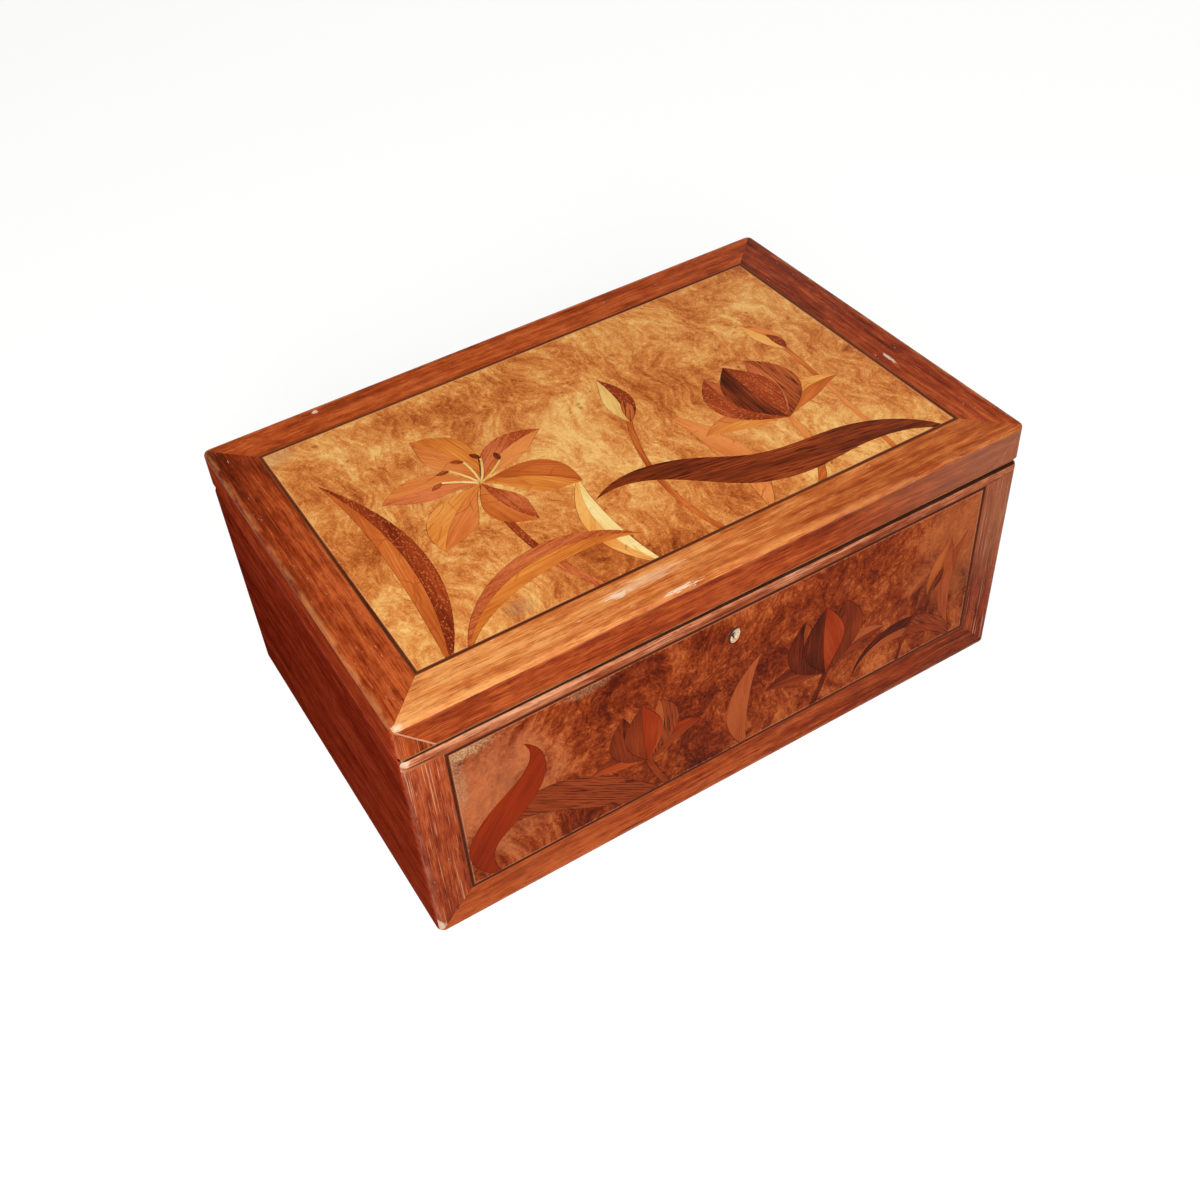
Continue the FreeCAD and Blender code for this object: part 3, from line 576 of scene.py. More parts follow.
@dataclass(frozen=True)
class Burl:
    """Burl veneer: flames and clouds of brown on gold, crinkled all over, with a few dark eyes."""

    name: str
    shades: tuple[Colour, Colour, Colour, Colour]
    eye: Colour
    streak: Triple
    gloss: float
    seed: float
    field: str
    dust: float
    clouds: tuple[Cloud, ...] = ()
    scuffs: tuple[ScuffAndLight, ...] = ()
    dusty: tuple[ScuffAndLight, ...] = ()
    glue: Colour = (226, 164, 116)

    def material(self) -> bpy.types.Material:
        """The burl as a material."""
        tree = Tree(self.name)
        place = tree.place()
        drift = tree.bent(tree.bent(place, 11.0, 0.06), 48.0, 0.016)
        clouds = tree.noise(tree.even(drift, 15.0, self.seed), 4.0, 0.6)
        flame = tree.noise(tree.spread(drift, self.streak, self.seed), 4.0, 0.6)
        finer = tuple(4 * often for often in self.streak)
        feather = tree.noise(tree.spread(drift, finer, self.seed), 3.0, 0.6)
        ripple = tree.noise(tree.even(tree.bent(place, 240.0, 0.004), 560.0, self.seed), 3.0, 0.6)
        crinkle = abs(ripple - 0.5).step(0.0, 0.07)
        fleck = tree.noise(tree.even(place, 1500.0, self.seed), 2.0)
        broad = clouds * 0.9 + flame * 0.6 + feather * 0.5
        value = broad + crinkle * 0.1 + ripple * 0.16 + fleck * 0.16 - 0.665
        for cloud in self.clouds:
            value = value - tree.spot(drift, cloud) * cloud.depth
        colour = tree.ramp(value, tuple(zip((0.22, 0.40, 0.57, 0.80), self.shades)))
        seen = tree.noise(tree.even(place, 40.0, self.seed + 9.0), 1.0).step(0.52, 0.66)
        eyes = tree.cells(tree.even(drift, 170.0, self.seed)).step(0.24, 0.10) * seen
        colour = tree.blend(eyes * 0.5, colour, self.eye)
        ragged = flame * 1.6 + ripple * 0.6
        for scuff in self.scuffs:
            mask = (tree.spot(place, scuff) + ragged).step(1.25, 1.95)
            colour = tree.blend(mask * scuff.strength, colour, scuff.colour)
        grains = fleck.step(0.42, 0.60) * 0.8 + 0.2
        for patch in self.dusty:
            cover = (tree.spot(place, patch) + ripple * 0.8).step(0.5, 1.1) * grains
            colour = tree.blend(cover * patch.strength, colour, patch.colour)
        worn = (tree.border(place, self.field, GLUE_LINE) * (clouds + ripple)).step(0.75, 1.0)
        colour = tree.blend(worn * 0.6, colour, self.glue)
        dust = tree.specks(place, 150.0, SPECK)
        colour = tree.blend(dust * self.dust, colour, DUST)
        roughness = fleck * 0.18 + ripple * 0.1 + 0.22
        sag = tree.noise(tree.even(place, 45.0, self.seed), 2.0)
        height = crinkle * 0.5 + fleck * 0.5 + sag * 4.0 - eyes * 0.6 + dust * self.dust
        return tree.surface(colour, roughness, height, VENEER_RELIEF, {"Specular IOR Level": self.gloss})


@dataclass(frozen=True)
class Veneer:
    """An inlaid wood whose grain follows each piece."""

    name: str
    figure: Figure
    seed: float
    tones: Tones
    gloss: float

    def material(self) -> bpy.types.Material:
        """The veneer as a material."""
        tree = Tree(self.name)
        flat = tree.node("ShaderNodeUVMap", {"uv_map": GRAIN_MAP}, {})
        tone = tree.node("ShaderNodeAttribute", {"attribute_name": TONE}, {}, "Fac")
        share = tree.node("ShaderNodeAttribute", {"attribute_name": SHARE}, {}, "Fac")
        bands = tree.noise(tree.spread(flat, (14.0, 150.0, 1.0), self.seed), 3.0)
        fibre = tree.noise(tree.spread(flat, (45.0, 1300.0, 1.0), self.seed), 3.0, 0.6)
        pores = tree.noise(tree.spread(flat, (220.0, 2600.0, 1.0), self.seed), 1.0).step(0.58, 0.70)
        shade = abs(share - 0.5) * 0.5
        value = bands * 0.55 + fibre * 0.65 + tone * 0.45 - shade * 0.5 - 0.20
        colour = tree.ramp(value, self.tones.stops(0.25, 0.52, 0.80))
        relief = fibre * 0.4 - pores * 0.5
        if self.figure is Figure.DOTTED:
            dots = tree.cells(tree.spread(flat, (650.0, 950.0, 1.0), self.seed)).step(0.42, 0.20)
            colour = tree.blend(dots * 0.55, colour, self.tones.light)
        if self.figure is Figure.STRIPED:
            lines = tree.noise(tree.spread(flat, (70.0, 1500.0, 1.0), self.seed + 3.0), 2.0)
            stripes = lines.step(0.52, 0.60)
            colour = tree.blend(stripes * 0.8, colour, self.tones.dark)
            relief = relief - stripes * 0.5
        else:
            colour = tree.blend(pores * 0.4, colour, self.tones.dark)
        if self.figure is Figure.CRACKED:
            bowed = tree.bent(flat, 90.0, 0.006)
            seams = tree.cells(tree.spread(bowed, (60.0, 110.0, 1.0), self.seed), Cells.EDGES)
            there = tree.noise(tree.even(flat, 70.0, self.seed), 1.0).step(0.46, 0.58)
            cracks = seams.step(0.035, 0.012) * there
            colour = tree.blend(cracks * 0.55, colour, self.tones.dark)
            relief = relief - cracks
        roughness = fibre * 0.18 + pores * 0.1 + 0.24
        return tree.surface(colour, roughness, relief, VENEER_RELIEF, {"Specular IOR Level": self.gloss})


@dataclass(frozen=True)
class PlainWood:
    """Wood of the stringing: even grain on the object's own axes."""

    name: str
    grain: Grain
    dark: Colour
    light: Colour
    gloss: float
    seed: float

    def material(self) -> bpy.types.Material:
        """The wood as a material."""
        tree = Tree(self.name)
        place = tree.place()
        bands = tree.noise(tree.spread(place, self.grain.pair(4, 55), self.seed), 3.0, 0.55, 0.4)
        fibre = tree.noise(tree.spread(place, self.grain.pair(30, 1100), self.seed), 3.0, 0.6)
        stain = tree.noise(tree.even(place, 9.0, self.seed), 3.0)
        value = bands * 0.6 + fibre * 0.5 + stain * 0.4 - 0.25
        colour = tree.ramp(value, [(0.28, self.dark), (0.72, self.light)])
        roughness = fibre * 0.25 + 0.38
        height = fibre + bands
        return tree.surface(colour, roughness, height, WOOD_RELIEF, {"Specular IOR Level": self.gloss})


@dataclass(frozen=True)
class CarcassWood:
    """Old softwood of the carcass: growth rings drawn out along the board, stained by age."""

    name: str
    grain: Grain
    timber: Timber
    seed: float
    pitch: float = 0.0034

    def material(self) -> bpy.types.Material:
        """The wood as a material."""
        tree = Tree(self.name)
        place = tree.place()
        bowed = tree.bent(tree.bent(place, 5.0, 0.03), 30.0, 0.004)
        heart = tree.spread(bowed, self.grain.pair(0.09, 1.0), self.seed * 0.02)
        width = tree.noise(tree.even(heart, 60.0, self.seed), 2.0) * 9.0
        ring = (tree.size(heart) * (math.tau / self.pitch) + width).wave() * 0.5 + 0.5
        fibre = tree.noise(tree.spread(place, self.grain.pair(40, 1700), self.seed), 3.0, 0.65)
        slits = tree.noise(tree.spread(place, self.grain.pair(160, 2600), self.seed + 3.0), 1.0)
        pores = slits.step(0.60, 0.70)
        age = tree.noise(tree.spread(place, self.grain.pair(7, 24), self.seed), 5.0, 0.65)
        value = ring * 0.22 + fibre * 0.8 + age * 0.6 - 0.33
        colour = tree.ramp(value, [(0.25, self.timber.early), (0.78, self.timber.late)])
        colour = tree.blend(pores * 0.5, colour, self.timber.stain)
        roughness = fibre * 0.25 + 0.45
        height = fibre + ring * 0.5 - pores
        return tree.surface(colour, roughness, height, PINE_RELIEF, {"Specular IOR Level": 0.15})


@dataclass(frozen=True)
class Bone:
    """Yellowed bone, cracked and stained, with painted shadow over all of it but one lit spot."""

    name: str
    pale: Colour
    yellow: Colour
    stain: Colour
    painted_shadow: Colour
    lit_spot: Spot

    def material(self) -> bpy.types.Material:
        """The bone as a material."""
        tree = Tree(self.name)
        place = tree.place()
        cloud = tree.noise(tree.even(place, 420.0), 4.0, 0.6)
        pits = tree.noise(tree.spread(place, (1300.0, 1300.0, 700.0), 4.0), 2.0).step(0.54, 0.68)
        seams = tree.cells(tree.even(tree.bent(place, 500.0, 0.001), 480.0), Cells.EDGES)
        cracks = seams.step(0.10, 0.03)
        colour = tree.ramp(cloud, [(0.35, self.yellow), (0.60, self.pale)])
        colour = tree.blend((pits * 0.5).most(cracks * 0.45), colour, self.stain)
        # Painted shadow: outside the lit spot the bone is darkened, as the rim of its recess would shade it
        lit_share = tree.spot(place, self.lit_spot).step(0.10, 0.24)
        painted_shadow = tree.ramp(cloud, [(0.45, self.painted_shadow), (0.95, self.stain)])
        colour = tree.blend(lit_share, painted_shadow, colour)
        roughness = cloud * 0.3 + 0.3
        height = cloud - pits - cracks
        return tree.surface(colour, roughness, height, BONE_RELIEF, {"Specular IOR Level": 0.2})


@dataclass(frozen=True)
class Metal:
    """Old cast or rolled metal with tarnish and fine scratches."""

    name: str
    bright: Colour
    tarnish: Colour
    shine: float

    def material(self) -> bpy.types.Material:
        """The metal as a material."""
        tree = Tree(self.name)
        place = tree.place()
        cloud = tree.noise(tree.even(place, 160.0), 4.0, 0.65)
        scratches = tree.noise(tree.spread(place, (60.0, 2400.0, 2400.0)), 2.0)
        dull = cloud.step(0.40, 0.66)
        rubbed = tree.ramp(scratches, [(0.2, self.tarnish), (0.5, self.bright)])
        colour = tree.blend(dull * 0.7, rubbed, self.tarnish)
        roughness = dull * 0.25 + scratches * 0.2 + self.shine
        return tree.surface(colour, roughness, scratches + cloud, METAL_RELIEF, {"Metallic": 1.0})


Finish = Union[FrameWood, Burl, Veneer, PlainWood, CarcassWood, Bone, Metal]


def dress(nodes: Sequence[str], finish: Finish) -> None:
    """Gives some CAD nodes a finish.

    Args:
        nodes: The nodes' names.
        finish: What they are finished with.
    """
    material = finish.material()
    for name in nodes:
        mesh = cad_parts[name].data
        mesh.materials.clear()
        mesh.materials.append(material)
        log.info("%s: %s", name, finish.name)


def islands(mesh: bpy.types.Mesh) -> np.ndarray:
    """The number of the loose piece that each vertex belongs to.

    Args:
        mesh: A mesh whose doubles are merged.

    Returns:
        One number for each vertex.
    """
    parent = list(range(len(mesh.vertices)))

    def root(vertex: int) -> int:
        """The vertex that stands for a loose piece."""
        while parent[vertex] != vertex:
            parent[vertex] = parent[parent[vertex]]
            vertex = parent[vertex]
        return vertex

    for edge in mesh.edges:
        first, second = (root(v) for v in edge.vertices)
        parent[first] = second
    return np.array([root(v) for v in range(len(parent))])


@dataclass
class Marquetry:
    """A field's inlaid woods: a copy of each node, whose loose pieces have their own grain."""

    side: Side
    body: str
    prefix: str
    woods: dict[str, Veneer]
    lean: float = 0.15

    def build(self) -> None:
        """Makes a dressed copy of each inlay node."""
        for wood, veneer in self.woods.items():
            node = f"{self.prefix}_inlay_{wood}"
            piece = self._copy(node)
            self._lay_grain(piece.data, seed=len(wood))
            piece.data.materials.clear()
            piece.data.materials.append(veneer.material())
            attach(piece, self.body)
            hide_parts(node)
            log.info("%s: %s", piece.name, veneer.name)

    def _copy(self, node: str) -> bpy.types.Object:
        """A copy of a node with its loose triangles merged.

        Args:
            node: The node's name.

        Returns:
            The copy.
        """
        piece = bpy.data.objects.new(f"{node}_veneers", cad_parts[node].data.copy())
        bpy.context.scene.collection.objects.link(piece)
        select_only(piece)
        bpy.ops.mesh.customdata_custom_splitnormals_clear()
        bpy.ops.object.mode_set(mode="EDIT")
        bpy.ops.mesh.select_all(action="SELECT")
        bpy.ops.mesh.remove_doubles(threshold=MERGE_DISTANCE)
        bpy.ops.object.mode_set(mode="OBJECT")
        bpy.ops.object.shade_flat()
        return piece

    def _lay_grain(self, mesh: bpy.types.Mesh, seed: int) -> None:
        """Gives each loose piece its own grain direction, tone and share of its length.

        Args:
            mesh: The merged mesh.
            seed: Starts the random draws.
        """
        draw = np.random.default_rng(seed)
        points = np.array([v.co for v in mesh.vertices])[:, self.side.value]
        labels = islands(mesh)
        flat = np.zeros_like(points)
        tone, share = np.zeros(len(points)), np.zeros(len(points))
        for label in np.unique(labels):
            chosen = labels == label
            centred = points[chosen] - points[chosen].mean(0)
            axis = np.linalg.svd(centred, full_matrices=False)[2][0]
            turn = draw.normal(0.0, self.lean)
            axis = np.array([axis[0] - turn * axis[1], axis[1] + turn * axis[0]])
            along, across = centred @ axis, centred @ np.array([-axis[1], axis[0]])
            flat[chosen] = np.stack([along, across], 1) + draw.uniform(-0.5, 0.5, 2)
            tone[chosen] = draw.uniform()
            share[chosen] = (along - along.min()) / (np.ptp(along) + NO_LENGTH)
        layer = mesh.uv_layers.new(name=GRAIN_MAP)
        corner = np.zeros(len(mesh.loops), np.int32)
        mesh.loops.foreach_get("vertex_index", corner)
        layer.data.foreach_set("uv", flat[corner].astype(np.float32).ravel())
        for name, values in ((TONE, tone), (SHARE, share)):
            made = mesh.attributes.new(name, "FLOAT", "POINT")
            made.data.foreach_set("value", values.astype(np.float32))


def select_only(piece: bpy.types.Object) -> None:
    """Selects one object and makes it the active one."""
    bpy.ops.object.select_all(action="DESELECT")
    piece.select_set(True)
    bpy.context.view_layer.objects.active = piece


# Colours of the woods
GOLDEN = Tones((160, 66, 24), (208, 114, 52), (242, 164, 92))
AMBER = Tones((116, 38, 10), (178, 72, 26), (218, 110, 52))
RUSSET = Tones((98, 30, 8), (160, 60, 22), (206, 98, 46))
FACE = Tones((88, 26, 6), (152, 55, 19), (200, 94, 43))
STILE = Tones((98, 30, 12), (154, 60, 30), (194, 94, 52))
STRIP = Tones((120, 46, 22), (178, 94, 56), (226, 152, 108))
LID_SIDE = Tones((142, 40, 16), (198, 70, 34), (222, 98, 54))
CASE_SIDE = Tones((118, 30, 14), (164, 50, 26), (194, 74, 42))
LID_BURL = ((124, 50, 15), (184, 94, 39), (222, 138, 67), (251, 198, 116))
FRONT_BURL = ((56, 13, 2), (102, 31, 8), (152, 60, 22), (210, 112, 56))
LID_PINE = Timber(early=(190, 128, 78), late=(134, 78, 40), stain=(92, 48, 24))
CASE_PINE = Timber(early=(186, 124, 74), late=(130, 74, 38), stain=(88, 46, 22))

# Veneers of the two pictures: name, figure, seed and colours
LID_WOODS = {
    "pale": ("pale_holly", Figure.CRACKED, 1.0, Tones((224, 164, 84), (248, 204, 122), (255, 228, 156))),
    "gold": ("gold_satinwood", Figure.CRACKED, 2.0, Tones((194, 94, 30), (230, 140, 58), (250, 182, 96))),
    "tan": ("tan_pearwood", Figure.CRACKED, 3.0, Tones((170, 74, 26), (212, 110, 46), (236, 146, 76))),
    "red": ("red_lacewood", Figure.DOTTED, 4.0, Tones((112, 36, 12), (168, 68, 28), (226, 124, 70))),
    "dark": ("dark_palmwood", Figure.STRIPED, 5.0, Tones((64, 20, 5), (152, 62, 24), (204, 102, 48))),
}
FRONT_WOODS = {
    "gold": ("front_gold", Figure.PLAIN, 6.0, Tones((160, 70, 26), (198, 102, 46), (222, 138, 76))),
    "red": ("front_red", Figure.PLAIN, 7.0, Tones((126, 34, 10), (158, 50, 16), (182, 76, 34))),
    "brown": ("front_brown", Figure.PLAIN, 8.0, Tones((108, 38, 14), (152, 60, 26), (184, 90, 46))),
    "dark": ("front_dark", Figure.STRIPED, 9.0, Tones((60, 16, 4), (122, 42, 16), (158, 68, 32))),
}

# Polish of the end rails' and the sides' arrises
SIDE_POLISH = 0.06

# Wear on the lid, and a painted highlight on its front left corner
# A painted highlight on the lid's front left corner, in the pale colour of bare wood
LID_CORNER_HIGHLIGHT = ScuffAndLight((-0.1470, -0.0975, 0.1312), (0.0045, 0.0030, 0.0030), BARE_AND_HIGHLIGHT, 0.6)
LID_FRONT_WEAR_AND_HIGHLIGHT = (
    ScuffAndLight((-0.0246, -0.0968, 0.1312), (0.015, 0.0020, 0.004), CHIP, 0.85),
    ScuffAndLight((-0.0466, -0.0861, 0.132), (0.009, 0.0028, 0.003), BARE_AND_HIGHLIGHT, 0.75),
    ScuffAndLight((-0.0350, -0.0850, 0.132), (0.032, 0.0050, 0.003), CHIP, 0.3),
    LID_CORNER_HIGHLIGHT,
)
LID_BACK_WEAR = (ScuffAndLight((-0.0962, 0.0942, 0.132), (0.003, 0.002, 0.003), BARE_AND_HIGHLIGHT, 0.9),)
LID_END_WEAR_AND_HIGHLIGHT = (ScuffAndLight((0.1360, -0.0273, 0.132), (0.0016, 0.009, 0.003), BARE_AND_HIGHLIGHT, 0.75), LID_CORNER_HIGHLIGHT)
LID_FILM = (ScuffAndLight((0.1400, -HALF_DEPTH, 0.1230), (0.100, 0.010, 0.030), (190, 128, 96), 0.45),)
LID_DUST = (
    ScuffAndLight((-0.0812, -0.0705, LID_TOP), (0.012, 0.007, 0.05), (150, 118, 92), 0.5),
    ScuffAndLight((-0.1270, 0.0740, LID_TOP), (0.020, 0.012, 0.05), (196, 150, 112), 0.6),
)
LID_CLOUDS = (
    Cloud((-0.1140, 0.0356, LID_TOP), (0.032, 0.030, 0.05), 0.15),
    Cloud((-0.0652, 0.0685, LID_TOP), (0.030, 0.022, 0.05), 0.13),
    Cloud((-0.0490, 0.0400, LID_TOP), (0.020, 0.032, 0.05), 0.13),
)

# The lid's front ends, left and right, and how strongly the slanting joint shows there
MITRES = ((-1.0, 0.75), (1.0, 0.12))

# Wear on the case, with painted highlights on its front left corners and a painted pool of light on its
# bottom rail
# A worn front left foot, painted pale also as a highlight
CASE_FOOT_WEAR_AND_HIGHLIGHT = ScuffAndLight((-0.1488, -0.0978, 0.0040), (0.004, 0.004, 0.009), BARE_AND_HIGHLIGHT, 0.8)
# A painted highlight on the case's front left corner under the lid
CASE_SHOULDER_HIGHLIGHT = ScuffAndLight((-0.1480, -0.0975, 0.1112), (0.004, 0.003, 0.003), BARE_AND_HIGHLIGHT, 0.6)
STILE_FILM = (ScuffAndLight((0.1450, -HALF_DEPTH, 0.0900), (0.030, 0.010, 0.070), (184, 122, 88), 0.5),)
# A painted pool of light on the left of the bottom rail
BOTTOM_PAINTED_LIGHT = (ScuffAndLight((-0.1000, -HALF_DEPTH, 0.0100), (0.080, 0.010, 0.040), (206, 108, 60), 0.2),)
FRONT_DUST = (
    ScuffAndLight((-0.1270, -HALF_DEPTH, 0.1055), (0.024, 0.05, 0.010), (206, 176, 130), 0.85),
    ScuffAndLight((-0.1290, -HALF_DEPTH, 0.0860), (0.006, 0.05, 0.024), (196, 150, 110), 0.6),
    ScuffAndLight((-0.0700, -HALF_DEPTH, 0.1040), (0.016, 0.05, 0.006), (190, 150, 110), 0.5),
)
FRONT_HAZE = (
    ScuffAndLight((-0.1150, -HALF_DEPTH, 0.0720), (0.050, 0.01, 0.070), (198, 118, 76), 0.5),
    ScuffAndLight((0.1220, -HALF_DEPTH, 0.0800), (0.052, 0.01, 0.070), (184, 100, 54), 0.5),
)
FRONT_CLOUDS = (Cloud((-0.0050, -HALF_DEPTH, 0.0740), (0.075, 0.05, 0.055), 0.20),)


@dataclass
class Lid:
    """The lid's frame, facings, stringing, picture and carcass."""

    wear: float = 0.45
    gloss: float = 0.03
    side_gloss: float = 0.0

    def rail(self, name: str, grain: Grain, tones: Tones, seed: float, **more: Any) -> FrameWood:
        """The wood of one of the lid's rails."""
        return FrameWood(name, grain, LID_BLOCK, tones, rubbed=RUBBED, wear=self.wear, gloss=self.gloss,
                         seed=seed, **more)

    def dress(self) -> None:
        """Finishes every node of the lid apart from its inlays."""
        self._dress_frame()
        self._dress_front()
        self._dress_sides()
        self._dress_field()
        self._dress_carcass()

    def build(self) -> None:
        """Lays the lid's picture."""
        woods = {wood: Veneer(*look, self.gloss) for wood, look in LID_WOODS.items()}
        Marquetry(Side.TOP, "lid", "lid", woods).build()

    def _dress_frame(self) -> None:
        """Finishes the mitred frame on top."""
        dress(["lid_top_front_rail"],
              self.rail("golden_front_rail", Grain.ALONG, GOLDEN, 1.3, porous=0.35, tilt=(0.16, 0.0),
                        scuffs=LID_FRONT_WEAR_AND_HIGHLIGHT))
        dress(["lid_top_back_rail"],
              self.rail("amber_back_rail", Grain.ALONG, AMBER, 4.1, tilt=(-0.05, 0.0),
                        scuffs=LID_BACK_WEAR))
        dress(["lid_top_left_rail", "lid_top_right_rail"],
              self.rail("russet_end_rails", Grain.DEEP, FACE, 7.7, tilt=(0.03, 0.11), polish=SIDE_POLISH,
                        scuffs=LID_END_WEAR_AND_HIGHLIGHT))

    def _dress_front(self) -> None:
        """Finishes the front facing, with the slanting joints at its ends."""
        fall, run = LID_TOP - LID_FOOT, HALF_LENGTH - MITRE_FOOT
        mitres = tuple(
            Joint((end * HALF_LENGTH, -HALF_DEPTH, LID_TOP), (-end * fall, 0.0, run), PALE_GLUE, shown)
            for end, shown in MITRES)
        dress(["lid_front_rail"],
              self.rail("russet_lid_front", Grain.ALONG, FACE, 2.9, tilt=(0.10, 0.0), joints=mitres,
                        hazes=LID_FILM))
        dress(["lid_front_stile_tips"],
              self.rail("russet_stile_tips", Grain.UPRIGHT, RUSSET, 6.2, flecks=0.4, joints=mitres,
                        scuffs=(LID_CORNER_HIGHLIGHT,), hazes=LID_FILM))

    def _dress_sides(self) -> None:
        """Finishes the facings of the ends and the back."""
        look = dict(rubbed=(206, 104, 62), wear=0.4, gloss=self.side_gloss, seed=3.3, polish=SIDE_POLISH)
        dress(["lid_left_facing", "lid_right_facing"],
              FrameWood("lid_side_wood", Grain.DEEP, LID_BLOCK, LID_SIDE, **look))
        dress(["lid_back_facing"], FrameWood("lid_back_wood", Grain.ALONG, LID_BLOCK, LID_SIDE, **look))

    def _dress_field(self) -> None:
        """Finishes the stringing and the burl ground."""
        dress(["lid_string_core"],
              PlainWood("lid_dark_line", Grain.ALONG, (70, 29, 11), (114, 56, 25), self.gloss, 2.0))
        dress(["lid_string_edges"],
              PlainWood("lid_edge_line", Grain.ALONG, (96, 44, 20), (158, 86, 46), self.gloss, 5.0))
        dress(["lid_burl_ground"],
              Burl("lid_burl", LID_BURL, eye=(116, 54, 20), streak=(105.0, 36.0, 80.0), gloss=self.gloss,
                   seed=2.4, field="lid_burl_ground", dust=0.3, clouds=LID_CLOUDS, dusty=LID_DUST))

    def _dress_carcass(self) -> None:
        """Finishes the board and the rims."""
        dress(["lid_board"], CarcassWood("lid_board_pine", Grain.ALONG, LID_PINE, 3.1))
        dress(["lid_front_rim", "lid_back_rim"], CarcassWood("lid_long_rims", Grain.ALONG, LID_PINE, 5.3))
        dress(["lid_left_rim", "lid_right_rim"], CarcassWood("lid_end_rims", Grain.DEEP, LID_PINE, 4.4))


@dataclass
class Case:
    """The case's front frame, facings, stringing, picture and carcass."""

    wear: float = 0.35
    gloss: float = 0.02
    side_gloss: float = 0.0
    # Level above which the case's wood carries the painted shade of the gap under the lid
    gap_shade_level: float = 0.1115

    def rail(self, name: str, grain: Grain, tones: Tones, seed: float, **more: Any) -> FrameWood:
        """The wood of one of the front frame's pieces."""
        return FrameWood(name, grain, CASE_BLOCK, tones, rubbed=(232, 166, 128), gloss=self.gloss,
                         seed=seed, gap_shade=self.gap_shade_level, **more)

    def dress(self) -> None:
        """Finishes every node of the case apart from its inlays and the fittings."""
        self._dress_frame()
        self._dress_sides()
        self._dress_field()
        self._dress_carcass()

    def build(self) -> None:
        """Lays the front's picture."""
        woods = {wood: Veneer(*look, self.gloss) for wood, look in FRONT_WOODS.items()}
        Marquetry(Side.FRONT, "case", "front", woods).build()

    def _dress_frame(self) -> None:
        """Finishes the stiles and rails of the front."""
        dress(["front_left_stile", "front_right_stile"],
              self.rail("russet_stiles", Grain.UPRIGHT, STILE, 1.9, wear=self.wear, flecks=0.6,
                        tilt=(0.06, 0.0), scuffs=(CASE_FOOT_WEAR_AND_HIGHLIGHT,), hazes=STILE_FILM))
        dress(["front_top_rail"],
              self.rail("rubbed_top_strip", Grain.ALONG, STRIP, 5.6, wear=0.8, porous=0.75, flecks=0.7,
                        pore=(112, 34, 18), tilt=(0.05, 0.0), scuffs=(CASE_SHOULDER_HIGHLIGHT,)))
        dress(["front_bottom_rail"],
              self.rail("russet_bottom_rail", Grain.ALONG, FACE, 8.8, wear=self.wear, tilt=(0.15, 0.0),
                        hazes=BOTTOM_PAINTED_LIGHT))

    def _dress_sides(self) -> None:
        """Finishes the facings of the ends and the back."""
        look = dict(rubbed=(196, 96, 60), wear=0.4, gloss=self.side_gloss, seed=9.4, polish=SIDE_POLISH,
                    tilt=(0.0, 0.08), gap_shade=self.gap_shade_level)
        dress(["left_facing", "right_facing"],
              FrameWood("case_side_wood", Grain.DEEP, CASE_BLOCK, CASE_SIDE, **look))
        dress(["back_facing"], FrameWood("case_back_wood", Grain.ALONG, CASE_BLOCK, CASE_SIDE, **look))

    def _dress_field(self) -> None:
        """Finishes the stringing and the burl ground."""
        dress(["front_string_core"],
              PlainWood("front_dark_line", Grain.ALONG, (58, 24, 12), (98, 44, 24), self.gloss, 2.0))
        dress(["front_string_edges"],
              PlainWood("front_edge_line", Grain.ALONG, (92, 40, 20), (150, 78, 46), self.gloss, 5.0))
        dress(["front_burl_ground"],
              Burl("front_burl", FRONT_BURL, eye=(54, 14, 4), streak=(120.0, 100.0, 75.0), gloss=self.gloss,
                   seed=6.4, field="front_burl_ground", dust=0.8, clouds=FRONT_CLOUDS, scuffs=FRONT_HAZE,
                   dusty=FRONT_DUST, glue=(206, 140, 104)))

    def _dress_carcass(self) -> None:
        """Finishes the walls and the bottom."""
        dress(["front_wall", "back_wall"], CarcassWood("long_walls_pine", Grain.ALONG, CASE_PINE, 6.1))
        dress(["left_wall", "right_wall"], CarcassWood("end_walls_pine", Grain.DEEP, CASE_PINE, 8.6))
        dress(["bottom_board"], CarcassWood("bottom_pine", Grain.ALONG, CASE_PINE, 2.2))


@dataclass
class Fittings:
    """Hinges, lock and keyhole escutcheon."""

    shine: float = 0.22
    steel_dulling: float = 0.08
    # Where the escutcheon's lit spot sits from its middle and how far it reaches; beyond it the bone
    # carries painted shadow
    lit_shift: Pair = (0.0017, -0.0021)
    lit_reach: Triple = (0.0044, 0.0100, 0.0062)

    def dress(self) -> None:
        """Finishes every fitting."""
        leaves = [f"hinge_{side}_{part}_leaf" for side in ("left", "right") for part in ("case", "lid")]
        brass = Metal("old_brass", (206, 164, 84), (128, 88, 40), self.shine)
        steel = Metal("grey_steel", (150, 146, 140), (88, 80, 72), self.shine + self.steel_dulling)
        dress(leaves + ["lock_plate", "lock_cap", "lock_link_plate", "lock_bolt"], brass)
        dress(["hinge_pins", "hinge_case_screws", "hinge_lid_screws", "lock_screws", "link_screws",
               "lock_drill_pin", "lock_spring"], steel)
        low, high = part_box("keyhole_escutcheon")
        middle = (0.5 * (low[0] + high[0]) + self.lit_shift[0], low[1],
                  0.5 * (low[2] + high[2]) + self.lit_shift[1])
        dress(["keyhole_escutcheon"],
              Bone("old_bone", (255, 240, 206), (236, 200, 150), (150, 84, 44), painted_shadow=(38, 14, 6),
                   lit_spot=Spot(middle, self.lit_reach)))


@dataclass(frozen=True)
class Lamp:
    """A soft round lamp that faces the box: its direction and distance from it, width and watts."""

    name: str
    towards: Triple
    distance: float
    size: float
    power: float


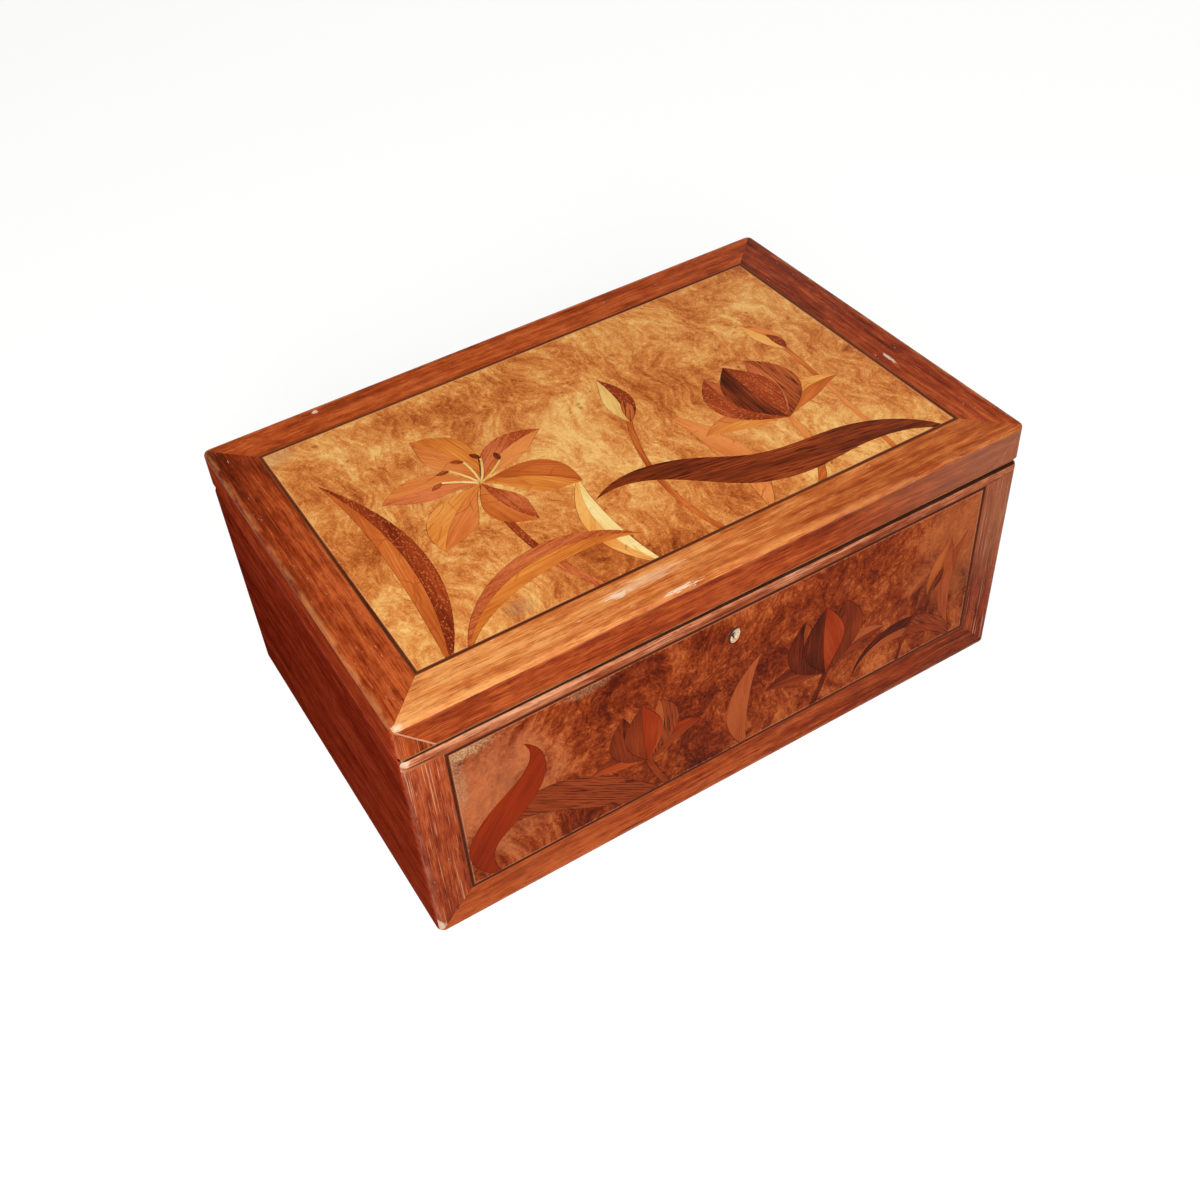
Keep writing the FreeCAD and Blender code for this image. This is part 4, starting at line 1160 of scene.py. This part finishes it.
LAMPS = (
    Lamp("key", (-0.36, -0.78, 0.60), 1.25, 0.7, 15.0),
    Lamp("overhead", (0.05, 0.1, 1.0), 1.9, 1.6, 6.5),
    Lamp("behind", (0.78, 0.60, 0.16), 2.0, 1.2, 9.0),
)

# The backdrop's rings: how much wider each is than the last, and how much higher
BACKDROP = ((1.14, 0.04), (1.10, 0.14), (1.06, 0.26), (1.02, 0.45), (1.0, 0.55))


@dataclass
class Studio:
    """Camera, lamps, pale floor and world."""

    place: Triple = (-0.23663, -0.41902, 0.50783)
    right: Triple = (0.85992, -0.50416, -0.07985)
    up: Triple = (0.40163, 0.57173, 0.71542)
    back: Triple = (-0.31502, -0.64727, 0.69412)
    lens: float = 41.864
    sensor: float = 36.0
    shift: Pair = (0.04057, -0.00894)
    clip_start: float = 0.01
    lamp_target: Triple = (0.0, 0.0, 0.07)
    floor_level: float = -0.0002
    floor_radius: float = 2.2
    floor_sides: int = 96
    floor_roughness: float = 0.30
    floor_glow: float = 0.80
    world_level: float = 0.22

    def build(self) -> None:
        """Sets up the whole studio."""
        self._camera()
        for lamp in LAMPS:
            self._lamp(lamp)
        self._floor()
        self._world()
        bpy.context.scene.view_settings.view_transform = "Standard"

    def _camera(self) -> None:
        """The camera where the photograph was taken from."""
        data = bpy.data.cameras.new("camera")
        data.lens, data.sensor_width = self.lens, self.sensor
        data.shift_x, data.shift_y = self.shift
        data.clip_start = self.clip_start
        camera = bpy.data.objects.new("camera", data)
        bpy.context.scene.collection.objects.link(camera)
        turn = Matrix((self.right, self.up, self.back)).transposed()
        camera.matrix_world = Matrix.Translation(self.place) @ turn.to_4x4()
        bpy.context.scene.camera = camera

    def _lamp(self, lamp: Lamp) -> None:
        """Hangs a lamp."""
        data = bpy.data.lights.new(lamp.name, "AREA")
        data.shape, data.size, data.energy = "DISK", lamp.size, lamp.power
        hung = bpy.data.objects.new(lamp.name, data)
        bpy.context.scene.collection.objects.link(hung)
        away = Vector(lamp.towards).normalized()
        hung.location = Vector(self.lamp_target) + away * lamp.distance
        hung.rotation_mode = "QUATERNION"
        hung.rotation_quaternion = away.to_track_quat("Z", "Y")
        hung.visible_camera = False

    def _floor(self) -> None:
        """A round floor whose rim curves up into a low backdrop."""
        bpy.ops.object.select_all(action="DESELECT")
        bpy.ops.mesh.primitive_circle_add(vertices=self.floor_sides, radius=self.floor_radius,
                                          fill_type="NGON", location=(0.0, 0.0, self.floor_level))
        floor = bpy.context.active_object
        floor.name = "floor"
        bpy.ops.object.transform_apply(location=True, rotation=True, scale=True)
        bpy.ops.object.mode_set(mode="EDIT")
        bpy.ops.mesh.select_mode(type="EDGE")
        bpy.ops.mesh.select_all(action="SELECT")
        for grow, rise in BACKDROP:
            bpy.ops.mesh.extrude_edges_move(TRANSFORM_OT_translate={"value": (0.0, 0.0, rise)})
            bpy.ops.transform.resize(value=(grow, grow, 1.0))
        bpy.ops.object.mode_set(mode="OBJECT")
        bpy.ops.object.shade_smooth()
        floor.data.materials.append(self._floor_paint())

    def _floor_paint(self) -> bpy.types.Material:
        """Pale paint that looks white to the camera and still takes the box's shadow."""
        tree = Tree("pale_floor")
        tooth = tree.noise(tree.even(tree.place(), 900.0), 2.0)
        colour = tree.ramp(tooth, [(0.3, (148, 147, 145)), (0.7, (150, 149, 147))])
        sockets = {"Color": colour, "Roughness": self.floor_roughness}
        paper = tree.node("ShaderNodeBsdfDiffuse", {}, sockets)
        rays = [tree.node("ShaderNodeLightPath", {}, {}, name)
                for name in ("Is Camera Ray", "Is Glossy Ray", "Is Transmission Ray")]
        seen = rays[0].most(rays[1]).most(rays[2])
        glow = tree.node("ShaderNodeEmission", {}, {"Strength": seen * self.floor_glow})
        return tree.end(tree.node("ShaderNodeAddShader", {}, {0: paper, 1: glow}))

    def _world(self) -> None:
        """Even light from all round."""
        world = bpy.data.worlds.new("studio")
        world.use_nodes = True
        background = world.node_tree.nodes["Background"]
        background.inputs["Color"].default_value = (1.0, 1.0, 1.0, 1.0)
        background.inputs["Strength"].default_value = self.world_level
        bpy.context.scene.world = world


def main() -> None:
    """Builds the studio and dresses the box."""
    logging.basicConfig(level=logging.INFO, format="%(message)s")
    Studio().build()
    lid, case = Lid(), Case()
    lid.dress()
    lid.build()
    case.dress()
    case.build()
    Fittings().dress()


if __name__ == "__main__":
    main()
